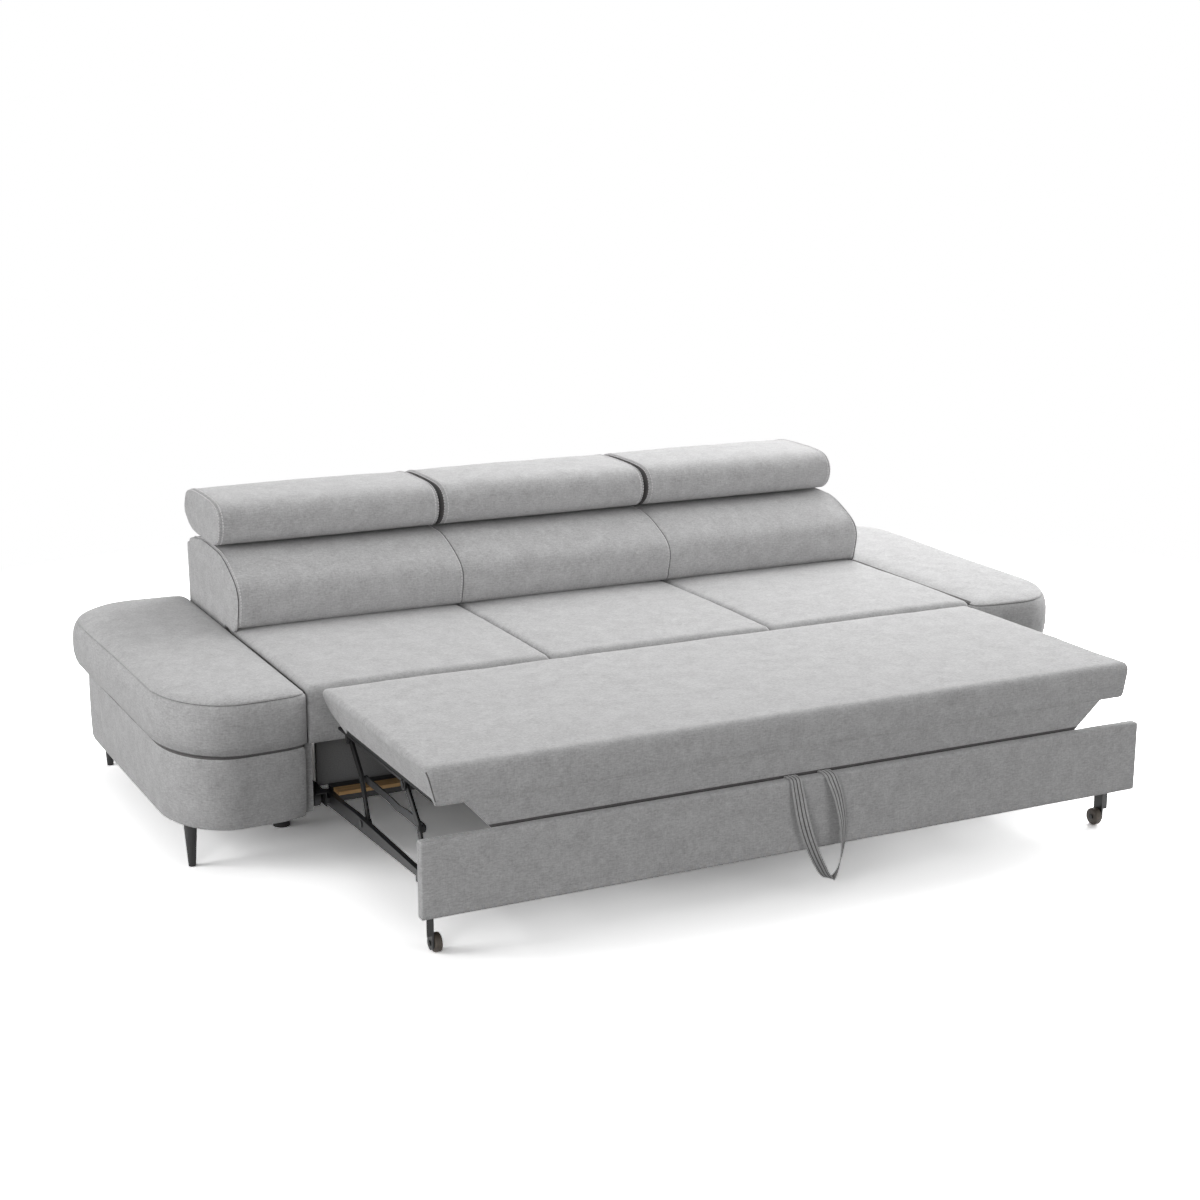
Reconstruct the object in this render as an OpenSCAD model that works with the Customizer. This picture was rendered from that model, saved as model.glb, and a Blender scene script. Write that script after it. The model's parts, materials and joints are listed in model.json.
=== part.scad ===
// Three-seat sofa bed with its bed pulled out and raised, three folding headrests and soft wide arms.
// Millimetres, Z up. X runs across the sofa and Y towards its back.
// Depths are laid out from the outer face of the pull-out panel, and the whole is then centred on the floor.

/* [Bed and seat] */
// Clear width between the arms, which is the bed's sleeping length
bed_w = 1960; // [1500:10:2200]
// Height of the seat and of the raised mattress above the floor
seat_h = 440; // [430:1:460]
// Thickness of the upholstered seat
seat_t = 143; // [130:1:150]
// Depth of the seat that shows in front of the backrest
seat_depth = 601; // [500:5:750]
// Depth of the mattress section, from its front face to the edge that meets the seat
mattress_depth = 699; // [690:1:760]
// Thickness of the mattress section
mattress_t = 86; // [70:1:92]
// Gap between the bed's outer frame and each arm
bed_side_gap = 43; // [40:1:60]
// Set-back of the mattress behind the panel's outer face
mattress_set_back = 20; // [16:1:24]
// Gap between the mattress and the seat's front edge
bed_gap = 4; // [3.5:0.5:10]
// Radius of the cushions' long edges
cushion_edge = 22; // [12:1:28]
// Number of seats, backs and headrests, each as wide as the others
seats = 3; // [2:1:4]

/* [Arms] */
// Width of each arm
arm_w = 345; // [300:5:400]
// How far the arms reach in front of the seat
arm_reach = 30; // [10:1:60]
// How far the arms reach behind the backrest
arm_tail = 26; // [5:1:60]
// Bow of the arm's front edge
arm_bow = 23; // [5:1:40]
// Width of the arm's round front corner
front_corner_w = 175; // [120:5:220]
// Depth of the arm's round front corner
front_corner_d = 248; // [180:4:300]
// Width of the arm's round rear corner
rear_corner_w = 220; // [150:5:240]
// Depth of the arm's round rear corner
rear_corner_d = 203; // [150:5:260]
// Height of an arm's cushion, from its joint with the base up to the seat's level
arm_cushion_t = 143; // [120:1:170]
// Bulge of an arm cushion's side past its upper seam
arm_bulge = 9; // [2:1:14]
// Padding on an arm's base
arm_pad = 22; // [15:1:35]

/* [Backrest] */
// Depth of the backrest from its foot at the seat to its rear face
back_depth = 453; // [420:1:520]
// Height of the backrest above the floor, without the headrests
back_h = 630; // [610:1:680]
// Foam in front of the back's frame
back_foam = 97; // [70:1:130]
// Foam on top of the back's frame
back_top_foam = 86; // [60:1:110]
// Thickness of the padded rear panel
rear_panel_t = 19.5; // [12:0.5:25]

/* [Headrests] */
// Gap between neighbouring headrests
headrest_gap = 12; // [4:1:30]
// Depth of a headrest, front to back
headrest_depth = 355; // [320:5:380]
// Height of a headrest
headrest_t = 122; // [105:1:150]
// How far a headrest reaches behind the backrest
headrest_tail = 38; // [30:1:60]
// Thickness of the board in a headrest
headrest_board_t = 8; // [6:1:12]
// Distance between the two hinges of a headrest
headrest_hinge_span = 400; // [200:10:440]

/* [Pull-out] */
// Thickness of the fabric-covered front panel
panel_t = 28; // [20:1:30]
// Height of the front panel
panel_tall = 180; // [160:1:184]
// Height of the front panel's lower edge above the floor
panel_low = 108; // [95:1:110]
// Gap between the front panel's end and the arm
panel_side_gap = 10; // [4:1:20]
// Height of a side rail
rail_tall = 30; // [26:1:34]
// Thickness of the folded steel
steel_t = 2.5; // [2:0.5:4]
// Width of a rail's flanges
rail_flange = 13; // [10:1:14]
// Height of the rails' front feet above the floor
rail_low = 134; // [130:1:140]
// Rise of a rail's lower edge behind its foot
rail_lift = 13; // [10:1:14]
// Fall of a rail's lower edge from there to its rear end
rail_fall = 30; // [20:1:32]
// Depth at which the rails end
rail_end = 805; // [800:1:815]
// Diameter of the rollers in the side tracks
roller_d = 40; // [34:1:42]
// Width of a roller
roller_w = 16; // [12:1:18]
// Depth of the rear rollers behind the panel's outer face
rear_roller_y = 1010; // [960:5:1060]
// Diameter of the floor casters
caster_d = 44; // [40:1:60]
// Width of a caster wheel
caster_w = 18; // [14:1:20]
// Depth of the casters behind the panel's outer face
caster_y = 76; // [60:1:90]
// Width of the pull strap's webbing
strap_w = 30; // [20:1:36]
// Thickness of the webbing
strap_t = 2; // [1.5:0.5:3]

/* [Lift linkage] */
// Depth of the rear levers' base pivot
rear_pivot_y = 520; // [500:1:530]
// Distance between the front and rear base pivots
lever_spacing = 373; // [350:1:380]
// Height of the base pivots
pivot_h = 152; // [150:1:154]
// Rearward reach of a raised lever
lever_reach = 115; // [110:1:120]
// Height of the raised levers' tips below the mattress
lug_drop = 26; // [24:1:30]
// Rearward reach of a lever's elbow
elbow_reach = 43; // [40:1:50]
// Rise of a lever's elbow
elbow_rise = 106; // [98:1:108]
// Share of the lower limb at which the strut is pinned
strut_share = 0.9; // [0.8:0.01:0.95]
// Width of a lever's flat bar
lever_w = 20; // [16:1:22]
// Thickness of a lever's flat bar
lever_t = 6; // [4:0.5:7]
// Height of the strut's flat bar
strut_w = 18; // [16:1:19]
// Thickness of the strut's flat bar
strut_t = 4; // [3:0.5:5]
// Diameter of the base pins
base_pin_d = 12; // [10:0.5:13]
// Diameter of the other linkage pins
link_pin_d = 10; // [8:0.5:11]

/* [Frame] */
// Thickness of the side boards
side_board_t = 18; // [15:1:20]
// Thickness of the arm's plywood
ply_t = 16; // [12:1:18]
// Height of the seat's wooden frame
seat_frame_t = 28; // [22:1:34]
// Height of the sofa's underside above the floor
underside_h = 115; // [115:1:117]
// Diameter of a leg at its top
leg_top_d = 34; // [28:1:40]
// Diameter of a leg at the floor
leg_foot_d = 18; // [14:1:22]
// Distance of the legs from the arms' outer side
leg_in = 71; // [60:1:90]
// Distance of the front legs behind the arms' front
front_leg_in = 124; // [110:1:150]
// Distance of the rear legs in front of the arms' rear
rear_leg_in = 123; // [110:1:150]
// Diameter of the short inner feet
foot_d = 44; // [36:1:44]
// Bolt diameter for legs and arms
bolt_d = 8; // [6:0.5:10]

/* [Hidden] */
$fn = 48;

fabric = "#a9a9ab";
wood = "#b98a55";
ply = "#c9a878";
black_steel = "#202124";
grey_steel = "#6b6c6e";
tyre_grey = "#5f5c58";

// Clearances: soft pieces beside each other, boards and plates that meet, and pins in their holes
soft_gap = 0.6;
seat_gap = 0.3;
run_gap = 0.05;
open_gap = 0.3;

half_w = bed_w / 2;
mattress_rear = mattress_set_back + mattress_depth;
seat_front = mattress_rear + bed_gap;
back_foot = seat_front + seat_depth;
sofa_rear = back_foot + back_depth;
seat_w = bed_w / seats;
seat_low = seat_h - seat_t;
arm_split_h = seat_h - arm_cushion_t;
mattress_low = seat_h - mattress_t;
lever_rise = mattress_low - lug_drop - pivot_h;

arm_in = half_w + soft_gap;
arm_out = half_w + arm_w;
arm_front = seat_front - arm_reach;
arm_rear = sofa_rear + arm_tail;

headrest_rear = sofa_rear + headrest_tail;
headrest_bulge = 2;
// The strap stands this far off the panel at its lowest point
strap_off = 22;
y_middle = (max(arm_rear + arm_bulge, headrest_rear + headrest_bulge) - strap_off - strap_w / 2) / 2;

// Points on a quarter of an ellipse from angle a to angle b
function arc(c, rx, ry, a, b, steps) =
    [for (i = [0:steps]) let (t = a + (b - a) * i / steps) [c[0] + rx * cos(t), c[1] + ry * sin(t)]];

// Direction that points out of an open path, at each of its points
function way(path, i) =
    let (a = path[max(0, i - 1)], b = path[min(len(path) - 1, i + 1)], d = b - a)
    d / norm(d);

// A path moved to its right by d, where each point's third number weighs the move
function shifted(path, d) =
    [for (i = [0:len(path) - 1])
        let (p = path[i], t = way([for (q = path) [q[0], q[1]]], i), w = is_undef(p[2]) ? 1 : p[2])
        [p[0] + t[1] * d * w, p[1] - t[0] * d * w]];

function reversed(list) = [for (i = [len(list) - 1:-1:0]) list[i]];

// A skin over rings of as many points each, closed at its ends by strips of triangles
module skin(rings) {
    n = len(rings[0]);
    m = len(rings);
    sides = [for (i = [0:m - 2], j = [0:n - 1])
        let (a = i * n + j, b = i * n + (j + 1) % n)
        each [[a, b, b + n], [a, b + n, a + n]]];
    first = [for (k = [0:n / 2 - 2])
        each [[n - 1 - k, n - 2 - k, k + 1], [n - 1 - k, k + 1, k]]];
    last = [for (k = [0:n / 2 - 2])
        let (s = (m - 1) * n)
        each [[s + k, s + k + 1, s + n - 2 - k], [s + k, s + n - 2 - k, s + n - 1 - k]]];
    polyhedron(points = [for (r = rings) each r], faces = concat(sides, first, last), convexity = 6);
}

// Distance from an end and depth of the round there, over a quarter turn
function end_round(r) = [for (a = [0:45:90]) [r * (1 - cos(a)), r * (1 - sin(a))]];

// Stations across a cushion: [x, depth under the full section, rise]
function stations(x0, x1, r, middle) =
    concat([for (e = end_round(r)) [x0 + e[0], e[1], 0]],
        middle,
        [for (e = reversed(end_round(r))) [x1 - e[0], e[1], 0]]);

// One ring of a long cushion: the free path drawn in by d and crowned by rise, and the seated path as it is
function cushion_ring(x, free, seated, d, rise = 0) =
    let (heights = [for (p = free) p[1]], low = min(heights), tall = max(heights) - low)
    [for (p = concat([for (q = shifted(free, d)) [q[0], q[1] + rise * pow(max(q[1] - low, 0) / tall, 4)]],
            reversed(seated))) [x, p[0], p[1]]];

// Crown across a cushion, as stations between its ends: [x, bulge, rise]
function crown(x0, x1, bulge, rise) =
    [for (i = [1:3]) let (k = i == 2 ? 1 : 0.75) [x0 + (x1 - x0) * i / 4, -bulge * k, rise * k]];

module at_depth(y) {
    translate([0, y - y_middle, 0])
        children();
}

module both_sides() {
    children();
    mirror([1, 0, 0])
        children();
}

// A round bar along X from x0 to x1
module bar_x(x0, x1, r) {
    translate([x0, 0, 0])
        rotate([0, 90, 0])
            cylinder(r = r, h = x1 - x0);
}

// A flat plate from x0 to x1 with the given outline in the Y-Z plane
module side_plate(x0, x1, outline) {
    translate([x0, 0, 0])
        rotate([90, 0, 90])
            linear_extrude(x1 - x0)
                polygon(outline);
}

module block(x0, x1, y0, y1, z0, z1) {
    translate([x0, y0, z0])
        cube([x1 - x0, y1 - y0, z1 - z0]);
}

// Arm outline, right arm: the free side from the inner front corner round to the inner rear corner
arm_front_c = [arm_out - 10 - front_corner_w, arm_front + front_corner_d];
arm_rear_c = [arm_out - rear_corner_w, arm_rear - rear_corner_d];
arm_free = concat(
    [[arm_in, arm_front + arm_bow], [(arm_in * 2 + arm_front_c[0]) / 3, arm_front + arm_bow * 0.3]],
    arc(arm_front_c, front_corner_w, front_corner_d, -90, 0, 7),
    arc(arm_rear_c, rear_corner_w, rear_corner_d, 0, 90, 7),
    [[arm_in + 40, arm_rear - 2], [arm_in, arm_rear - 8]]
);

// One level of the arm cushion, d inside the outline, its inner side straight between cut corners
corner_cut = 8;
function arm_ring(d, z) =
    let (free = shifted([for (p = arm_free) p], -d),
        n = len(free),
        inset = max(d, 0),
        lowest = free[0][1] + inset + corner_cut,
        highest = free[n - 1][1] - inset - corner_cut,
        inner = [for (i = [0:n - 1]) [arm_in + inset, lowest + (highest - lowest) * i / (n - 1)]])
    [for (p = concat(inner, reversed([for (q = free) [max(q[0], arm_in + inset + 1), q[1]]]))) [p[0], p[1], z]];

arm_top_seam = seat_h - 12;
module arm_cushion() {
    low = arm_split_h + soft_gap;
    side = arm_top_seam - low;
    color(fabric)
        at_depth(0)
            skin([
                arm_ring(9, low),
                arm_ring(1, low + 8),
                arm_ring(-arm_bulge * 0.7, low + side * 0.25),
                arm_ring(-arm_bulge, low + side * 0.5),
                arm_ring(-arm_bulge * 0.6, low + side * 0.8),
                arm_ring(0, arm_top_seam),
                arm_ring(10, arm_top_seam + 6),
                arm_ring(34, arm_top_seam + 11),
                arm_ring(80, arm_top_seam + 14)
            ]);
}
module arm_cushion_left() { mirror([1, 0, 0]) arm_cushion(); }
module arm_cushion_right() { arm_cushion(); }

// Padding round the arm's frame, swept along the outline
arm_base_in = 6;
module arm_base() {
    tall = arm_split_h - underside_h;
    outer = [[arm_base_in + 7, 0], [arm_base_in + 3, tall * 0.15], [arm_base_in, tall * 0.45],
        [arm_base_in, tall * 0.8], [arm_base_in + 4, tall]];
    inner = [for (o = reversed(outer)) [arm_base_in + arm_pad, o[1]]];
    levels = concat(outer, inner);
    paths = [for (l = levels) shifted(arm_free, -l[0])];
    color(fabric)
        at_depth(0)
            skin([for (i = [0:len(arm_free) - 1])
                [for (j = [0:len(levels) - 1])
                    [max(paths[j][i][0], arm_in), paths[j][i][1], underside_h + levels[j][1]]]]);
}
module arm_base_left() { mirror([1, 0, 0]) arm_base(); }
module arm_base_right() { arm_base(); }

// Where the legs stand under the right arm
leg_x = arm_out - leg_in;
leg_ys = [arm_front + front_leg_in, arm_rear - rear_leg_in];
// Where the arm is bolted to the side board: [y, z]
bolt_places = [for (y = [seat_front + 90, back_foot + 150], z = [underside_h + 60, arm_split_h - 55]) [y, z]];
arm_board_front = arm_front + arm_bow + 2 * arm_base_in + arm_pad + 14;
arm_board_rear = arm_rear - arm_base_in - arm_pad - 14;

module arm_plate() {
    plate = shifted(arm_free, -(arm_base_in + arm_pad + soft_gap));
    n = len(plate);
    linear_extrude(ply_t)
        polygon(concat([[arm_in + ply_t, arm_board_front]],
            [for (i = [2:n - 3]) plate[i]],
            [[arm_in + ply_t, arm_board_rear]]));
}

module arm_frame() {
    rib_w = arm_out - arm_in - ply_t - arm_base_in - arm_pad - 24;
    color(ply)
        at_depth(0)
            difference() {
                union() {
                    translate([0, 0, underside_h])
                        arm_plate();
                    translate([0, 0, arm_split_h - ply_t])
                        arm_plate();
                    block(arm_in, arm_in + ply_t, arm_board_front, arm_board_rear, underside_h, arm_split_h);
                    for (y = [leg_ys[0] + 120, (arm_front + arm_rear) / 2, leg_ys[1] - 120])
                        block(arm_in + ply_t, arm_in + ply_t + rib_w, y, y + ply_t,
                            underside_h + ply_t, arm_split_h - ply_t);
                }
                for (y = leg_ys)
                    translate([leg_x, y, underside_h - 1])
                        cylinder(r = bolt_d / 2 + run_gap, h = ply_t + 2);
                for (p = bolt_places)
                    translate([0, p[0], p[1]])
                        bar_x(arm_in - 1, arm_in + ply_t + 1, bolt_d / 2 + run_gap);
            }
}
module arm_frame_left() { mirror([1, 0, 0]) arm_frame(); }
module arm_frame_right() { arm_frame(); }

// Four tapered legs, each with the stud that holds it in the arm's lower plate
module legs() {
    color(black_steel)
        both_sides()
            for (y = leg_ys)
                translate([leg_x, y - y_middle, 0]) {
                    cylinder(d1 = leg_foot_d, d2 = leg_top_d, h = underside_h - seat_gap);
                    cylinder(d = bolt_d, h = underside_h + ply_t - 1);
                }
}

// Short feet under the side boards, near the front and at the back
foot_x = half_w - side_board_t / 2;
foot_front_in = 274;
foot_rear_in = 90;
foot_ys = [seat_front + foot_front_in, sofa_rear - foot_rear_in];
module inner_feet() {
    color(black_steel)
        both_sides()
            for (y = foot_ys)
                translate([foot_x, y - y_middle, 0]) {
                    cylinder(d = foot_d, h = 22);
                    cylinder(d = foot_d * 0.7, h = underside_h - 10);
                    cylinder(d = side_board_t - 2, h = underside_h - seat_gap);
                }
}

// Side boards of the sofa's body, bored for the arms' bolts and the guide rollers
side_in = half_w - side_board_t;
board_front = seat_front + 28;
board_rear = sofa_rear - rear_panel_t - seat_gap;
ledge_t = 2.5;
ledge_w = 24;
ledge_h = underside_h + 3.5;
roller_h = ledge_h + roller_d / 2 + 0.2;
guide_roller_y = board_front + 27;
roller_axle_d = 10;
module side_board() {
    color(ply)
        at_depth(0)
            difference() {
                block(side_in, half_w, board_front, board_rear, underside_h, seat_low);
                for (p = bolt_places)
                    translate([0, p[0], p[1]])
                        bar_x(side_in - 1, half_w + 1, bolt_d / 2 + run_gap);
                translate([0, guide_roller_y, roller_h])
                    bar_x(side_in - 1, half_w + 1, roller_axle_d / 2 + run_gap);
            }
}
module side_board_left() { mirror([1, 0, 0]) side_board(); }
module side_board_right() { side_board(); }

// Bolts through the side boards into the arms, with their heads inside the sofa
bolt_head_t = 2.2;
module arm_bolts() {
    color(grey_steel)
        at_depth(0)
            both_sides()
                for (p = bolt_places)
                    translate([0, p[0], p[1]]) {
                        bar_x(side_in - bolt_head_t - seat_gap, side_in - seat_gap, bolt_d);
                        bar_x(side_in - bolt_head_t, arm_in + ply_t, bolt_d / 2);
                        bar_x(arm_in + ply_t + seat_gap, arm_in + ply_t + seat_gap + 6, bolt_d * 0.85);
                        bar_x(arm_in + ply_t - 1, arm_in + ply_t + seat_gap + 6, bolt_d / 2);
                    }
}

// Wooden frame under the seats, on top of the side boards
seat_lip = 22;
seat_under = seat_low + seat_frame_t;
webbing_t = 1.6;
seat_rear = back_foot + back_foam - 4;
frame_rail = 42;
module seat_frame() {
    low = seat_low + seat_gap;
    front = seat_front + seat_lip + 2;
    color(wood)
        at_depth(0) {
            for (y = [front, seat_rear - frame_rail])
                block(-half_w + 1, half_w - 1, y, y + frame_rail, low, seat_under);
            for (i = [0:seats])
                let (x = -half_w + 1 + (bed_w - 2 - frame_rail) * i / seats)
                    block(x, x + frame_rail, front, seat_rear, low, seat_under);
        }
}

// Elastic webbing across the seat frame, front to back
webbing_w = 50;
belts = 5;
module seat_webbing() {
    color(black_steel)
        at_depth(0)
            for (s = [0:seats - 1], i = [1:belts])
                let (x = -half_w + seat_w * (s + i / (belts + 1)))
                    block(x - webbing_w / 2, x + webbing_w / 2, seat_front + seat_lip + 6, seat_rear - 4,
                        seat_under, seat_under + webbing_t);
}

// One seat: a front lip that hides the frame, and a crowned top
module seat_cushion(i) {
    x0 = -half_w + seat_w * i + soft_gap;
    x1 = -half_w + seat_w * (i + 1) - soft_gap;
    f = seat_front;
    e = cushion_edge;
    top = seat_h;
    under = seat_under + webbing_t + seat_gap;
    r = 16;
    free = concat(
        [[f + 6, seat_low + 0.5, 0.4], [f + 1, seat_low + 10], [f, seat_low + seat_t * 0.45]],
        [for (p = arc([f + e, top - e], e, e, 180, 90, 4)) p],
        [[f + e + 90, top + 1], [f + seat_depth * 0.5, top + 2], [back_foot - 30, top, 0.3],
            [seat_rear - 30, top - 2, 0], [seat_rear, top - 4, 0]]
    );
    seated = concat(
        [[f + seat_lip, seat_low + 0.5], [f + seat_lip, seat_low + 10], [f + seat_lip, under]],
        [for (k = [1:len(free) - 3]) [f + seat_lip + (seat_rear - f - seat_lip) * k / (len(free) - 3), under]]
    );
    color(fabric)
        at_depth(0)
            skin([for (s = stations(x0, x1, r, crown(x0, x1, 0, 3))) cushion_ring(s[0], free, seated, s[1], s[2])]);
}
module seat_cushion_left() { seat_cushion(0); }
module seat_cushion_middle() { seat_cushion(1); }
module seat_cushion_right() { seat_cushion(seats - 1); }

// Angle-iron ledges on the side boards, on which the drawer's rear rollers run
track_front = guide_roller_y + roller_d / 2 + 8;
module guide_tracks() {
    color(black_steel)
        at_depth(0)
            both_sides() {
                block(side_in - ledge_t - seat_gap, side_in - seat_gap, track_front, board_rear - 60,
                    ledge_h - ledge_t, ledge_h + 30);
                block(side_in - ledge_w, side_in - seat_gap, track_front, board_rear - 60,
                    ledge_h - ledge_t, ledge_h);
            }
}

roller_in = side_in - ledge_t - seat_gap - 3 - roller_w;
module guide_roller_axles() {
    color(grey_steel)
        at_depth(0)
            both_sides()
                translate([0, guide_roller_y, roller_h]) {
                    bar_x(roller_in - 2.5, roller_in - 0.3, roller_axle_d * 0.8);
                    bar_x(roller_in - 1, half_w, roller_axle_d / 2);
                    bar_x(roller_in + roller_w + 0.3, side_in - seat_gap, roller_axle_d * 0.8);
                }
}

// A grooved roller on its own axis
module roller(y, h) {
    color(tyre_grey)
        translate([roller_in, y - y_middle, h])
            rotate([0, 90, 0])
                difference() {
                    cylinder(d = roller_d, h = roller_w);
                    translate([0, 0, -1])
                        cylinder(r = roller_axle_d / 2 + run_gap, h = roller_w + 2);
                    for (z = [-1, roller_w - 2])
                        translate([0, 0, z])
                            difference() {
                                cylinder(d = roller_d * 0.78, h = 3);
                                cylinder(d = roller_axle_d * 1.7, h = 3);
                            }
                }
}
module guide_roller_left() { mirror([1, 0, 0]) roller(guide_roller_y, roller_h); }
module guide_roller_right() { roller(guide_roller_y, roller_h); }
module rear_roller_left() { mirror([1, 0, 0]) roller(rear_roller_y, roller_h); }
module rear_roller_right() { roller(rear_roller_y, roller_h); }

// Wooden frame in the backrest: a box over the seat's rear, on posts down the sofa's rear
back_box_front = back_foot + back_foam;
back_box_rear = sofa_rear - rear_panel_t - seat_gap;
back_box_top = back_h - back_top_foam;
rib_t = 18;
bracket_t = 4;
module back_frame() {
    x0 = -half_w + end_wall + 2 * soft_gap + 2;
    rib_gap = (-2 * x0 - rib_t) / seats;
    rear = back_box_rear - bracket_t;
    low = seat_low + seat_gap;
    inner_front = back_box_front + rib_t + seat_gap;
    inner_rear = rear - rib_t - seat_gap;
    inner_top = back_box_top - rib_t - seat_gap;
    color(wood)
        at_depth(0) {
            block(x0, -x0, back_box_front, back_box_front + rib_t, low, back_box_top);
            block(x0, -x0, rear - rib_t, rear, low, back_box_top);
            block(x0, -x0, inner_front, inner_rear, inner_top + seat_gap, back_box_top);
            for (i = [0:seats])
                let (x = x0 + rib_gap * i)
                    block(x, x + rib_t, inner_front, inner_rear, low, inner_top);
            block(-side_in + seat_gap, side_in - seat_gap, rear - rib_t, rear, underside_h + 2, underside_h + 90);
        }
}

// The backrest's upholstery: a full front, a rolled top, stitched seams between the seats and closed ends
end_wall = 24;
module back_cushion() {
    f = back_foot;
    low = seat_h + 2 + soft_gap;
    up = back_h - low;
    rear = back_box_rear - bracket_t - soft_gap;
    seam = 5;
    front = back_box_front - soft_gap;
    top = back_box_top + soft_gap;
    function free(rear_low) = [
        [f + 8, low, 0.3], [f - 10, low + up * 0.13], [f - 20, low + up * 0.3], [f - 21, low + up * 0.46],
        [f - 12, low + up * 0.58], [f + 8, low + up * 0.68], [f + 46, low + up * 0.79],
        [f + 95, low + up * 0.9], [f + 140, low + up * 0.965], [f + 190, low + up * 0.985],
        [f + 260, low + up], [f + 330, low + up * 0.99], [f + 385, low + up * 0.955, 0.5],
        [rear, low + up * 0.88, 0.3], [rear, rear_low, 0]
    ];
    n = len(free(low));
    up_points = 5;
    seated = concat(
        [for (k = [0:up_points - 1]) [front, low + (top - low) * k / (up_points - 1)]],
        [for (k = [1:n - up_points]) [front + (rear - front) * k / (n - up_points), top]]
    );
    edge = 6;
    closed = [for (k = [0:n - 1]) [front + (rear - edge - front) * k / (n - 1), low]];
    seams = [for (i = [1:seats - 1]) let (x = -half_w + seat_w * i)
        each [[x - 60, -1.5], [x - 12, 0], [x, seam], [x + 12, 0], [x + 60, -1.5]]];
    x0 = -half_w + soft_gap;
    ends = concat(end_round(12), [[end_wall, 0]]);
    color(fabric)
        at_depth(0)
            skin(concat(
                [for (e = ends) cushion_ring(x0 + e[0], free(low + edge), closed, e[1])],
                [for (s = concat([[x0 + end_wall + soft_gap, 0]], seams, [[-x0 - end_wall - soft_gap, 0]]))
                    cushion_ring(s[0], free(back_box_top + 6), seated, s[1])],
                [for (e = reversed(ends)) cushion_ring(-x0 - e[0], free(low + edge), closed, e[1])]));
}

// Padded panel that closes the sofa's rear
rear_panel_top = back_h - 30;
module back_cover() {
    color(fabric)
        at_depth(0)
            translate([-half_w + 1, 0, 0])
                rotate([90, 0, 90])
                    linear_extrude(bed_w - 2)
                        polygon(concat(
                            [[back_box_rear + seat_gap, underside_h + 2], [back_box_rear + seat_gap, rear_panel_top]],
                            arc([sofa_rear - 14, rear_panel_top - 14], 14, 14, 90, 0, 6),
                            [[sofa_rear, underside_h + 2]]));
}

// Headrest hinges: brackets behind the back's frame, leaves under the headrest's board
hinge_y = back_box_rear - bracket_t / 2;
hinge_h = back_h + 17;
knuckle_r = 7;
hinge_pin_d = 8;
leaf_w = 44;
leaf_t = 3;
headrest_x = [for (i = [0:seats - 1]) -half_w + seat_w * (i + 0.5)];
hinge_xs = [for (x = headrest_x, s = [-1, 1]) x + s * headrest_hinge_span / 2];
module headrest_brackets() {
    color(black_steel)
        at_depth(0)
            for (x = hinge_xs)
                difference() {
                    union() {
                        block(x - leaf_w / 2, x + leaf_w / 2, hinge_y - bracket_t / 2 + 0.1,
                            hinge_y + bracket_t / 2, back_box_top - 60, hinge_h - knuckle_r - 4);
                        for (s = [-1, 1])
                            translate([x + s * (leaf_w / 2 - 6) - 6, 0, 0]) {
                                block(0, 12, hinge_y - bracket_t / 2 + 0.1, hinge_y + bracket_t / 2,
                                    hinge_h - knuckle_r - 5, hinge_h);
                                translate([0, hinge_y, hinge_h])
                                    bar_x(0, 12, knuckle_r);
                            }
                    }
                    translate([0, hinge_y, hinge_h])
                        bar_x(x - leaf_w, x + leaf_w, hinge_pin_d / 2 + run_gap);
                }
}
module headrest_hinge_pins() {
    color(grey_steel)
        for (x = hinge_xs)
            translate([0, hinge_y - y_middle, hinge_h]) {
                bar_x(x - leaf_w / 2 - 1, x + leaf_w / 2 + 1, hinge_pin_d / 2);
                bar_x(x - leaf_w / 2 - 3, x - leaf_w / 2 - 0.2, knuckle_r - 1);
            }
}

board_low = hinge_h - knuckle_r + 2 + leaf_t;
headrest_board_rear = hinge_y - 24;
headrest_front = headrest_rear - headrest_depth;
module headrest_leaves(i) {
    color(black_steel)
        at_depth(0)
            for (s = [-1, 1])
                let (x = headrest_x[i] + s * headrest_hinge_span / 2, w = leaf_w - 24 - 0.6)
                    difference() {
                        union() {
                            block(x - w / 2, x + w / 2, hinge_y - 130, hinge_y, board_low - leaf_t, board_low);
                            translate([0, hinge_y, hinge_h])
                                bar_x(x - w / 2, x + w / 2, knuckle_r);
                        }
                        translate([0, hinge_y, hinge_h])
                            bar_x(x - leaf_w, x + leaf_w, hinge_pin_d / 2 + run_gap);
                    }
}
module headrest_leaves_left() { headrest_leaves(0); }
module headrest_leaves_middle() { headrest_leaves(1); }
module headrest_leaves_right() { headrest_leaves(seats - 1); }

headrest_half = seat_w / 2 - headrest_gap / 2;
module headrest_board(i) {
    color(ply)
        at_depth(0)
            block(headrest_x[i] - headrest_half + 30, headrest_x[i] + headrest_half - 30,
                headrest_front + 62, headrest_board_rear, board_low + seat_gap, board_low + seat_gap + headrest_board_t);
}
module headrest_board_left() { headrest_board(0); }
module headrest_board_middle() { headrest_board(1); }
module headrest_board_right() { headrest_board(seats - 1); }

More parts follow.
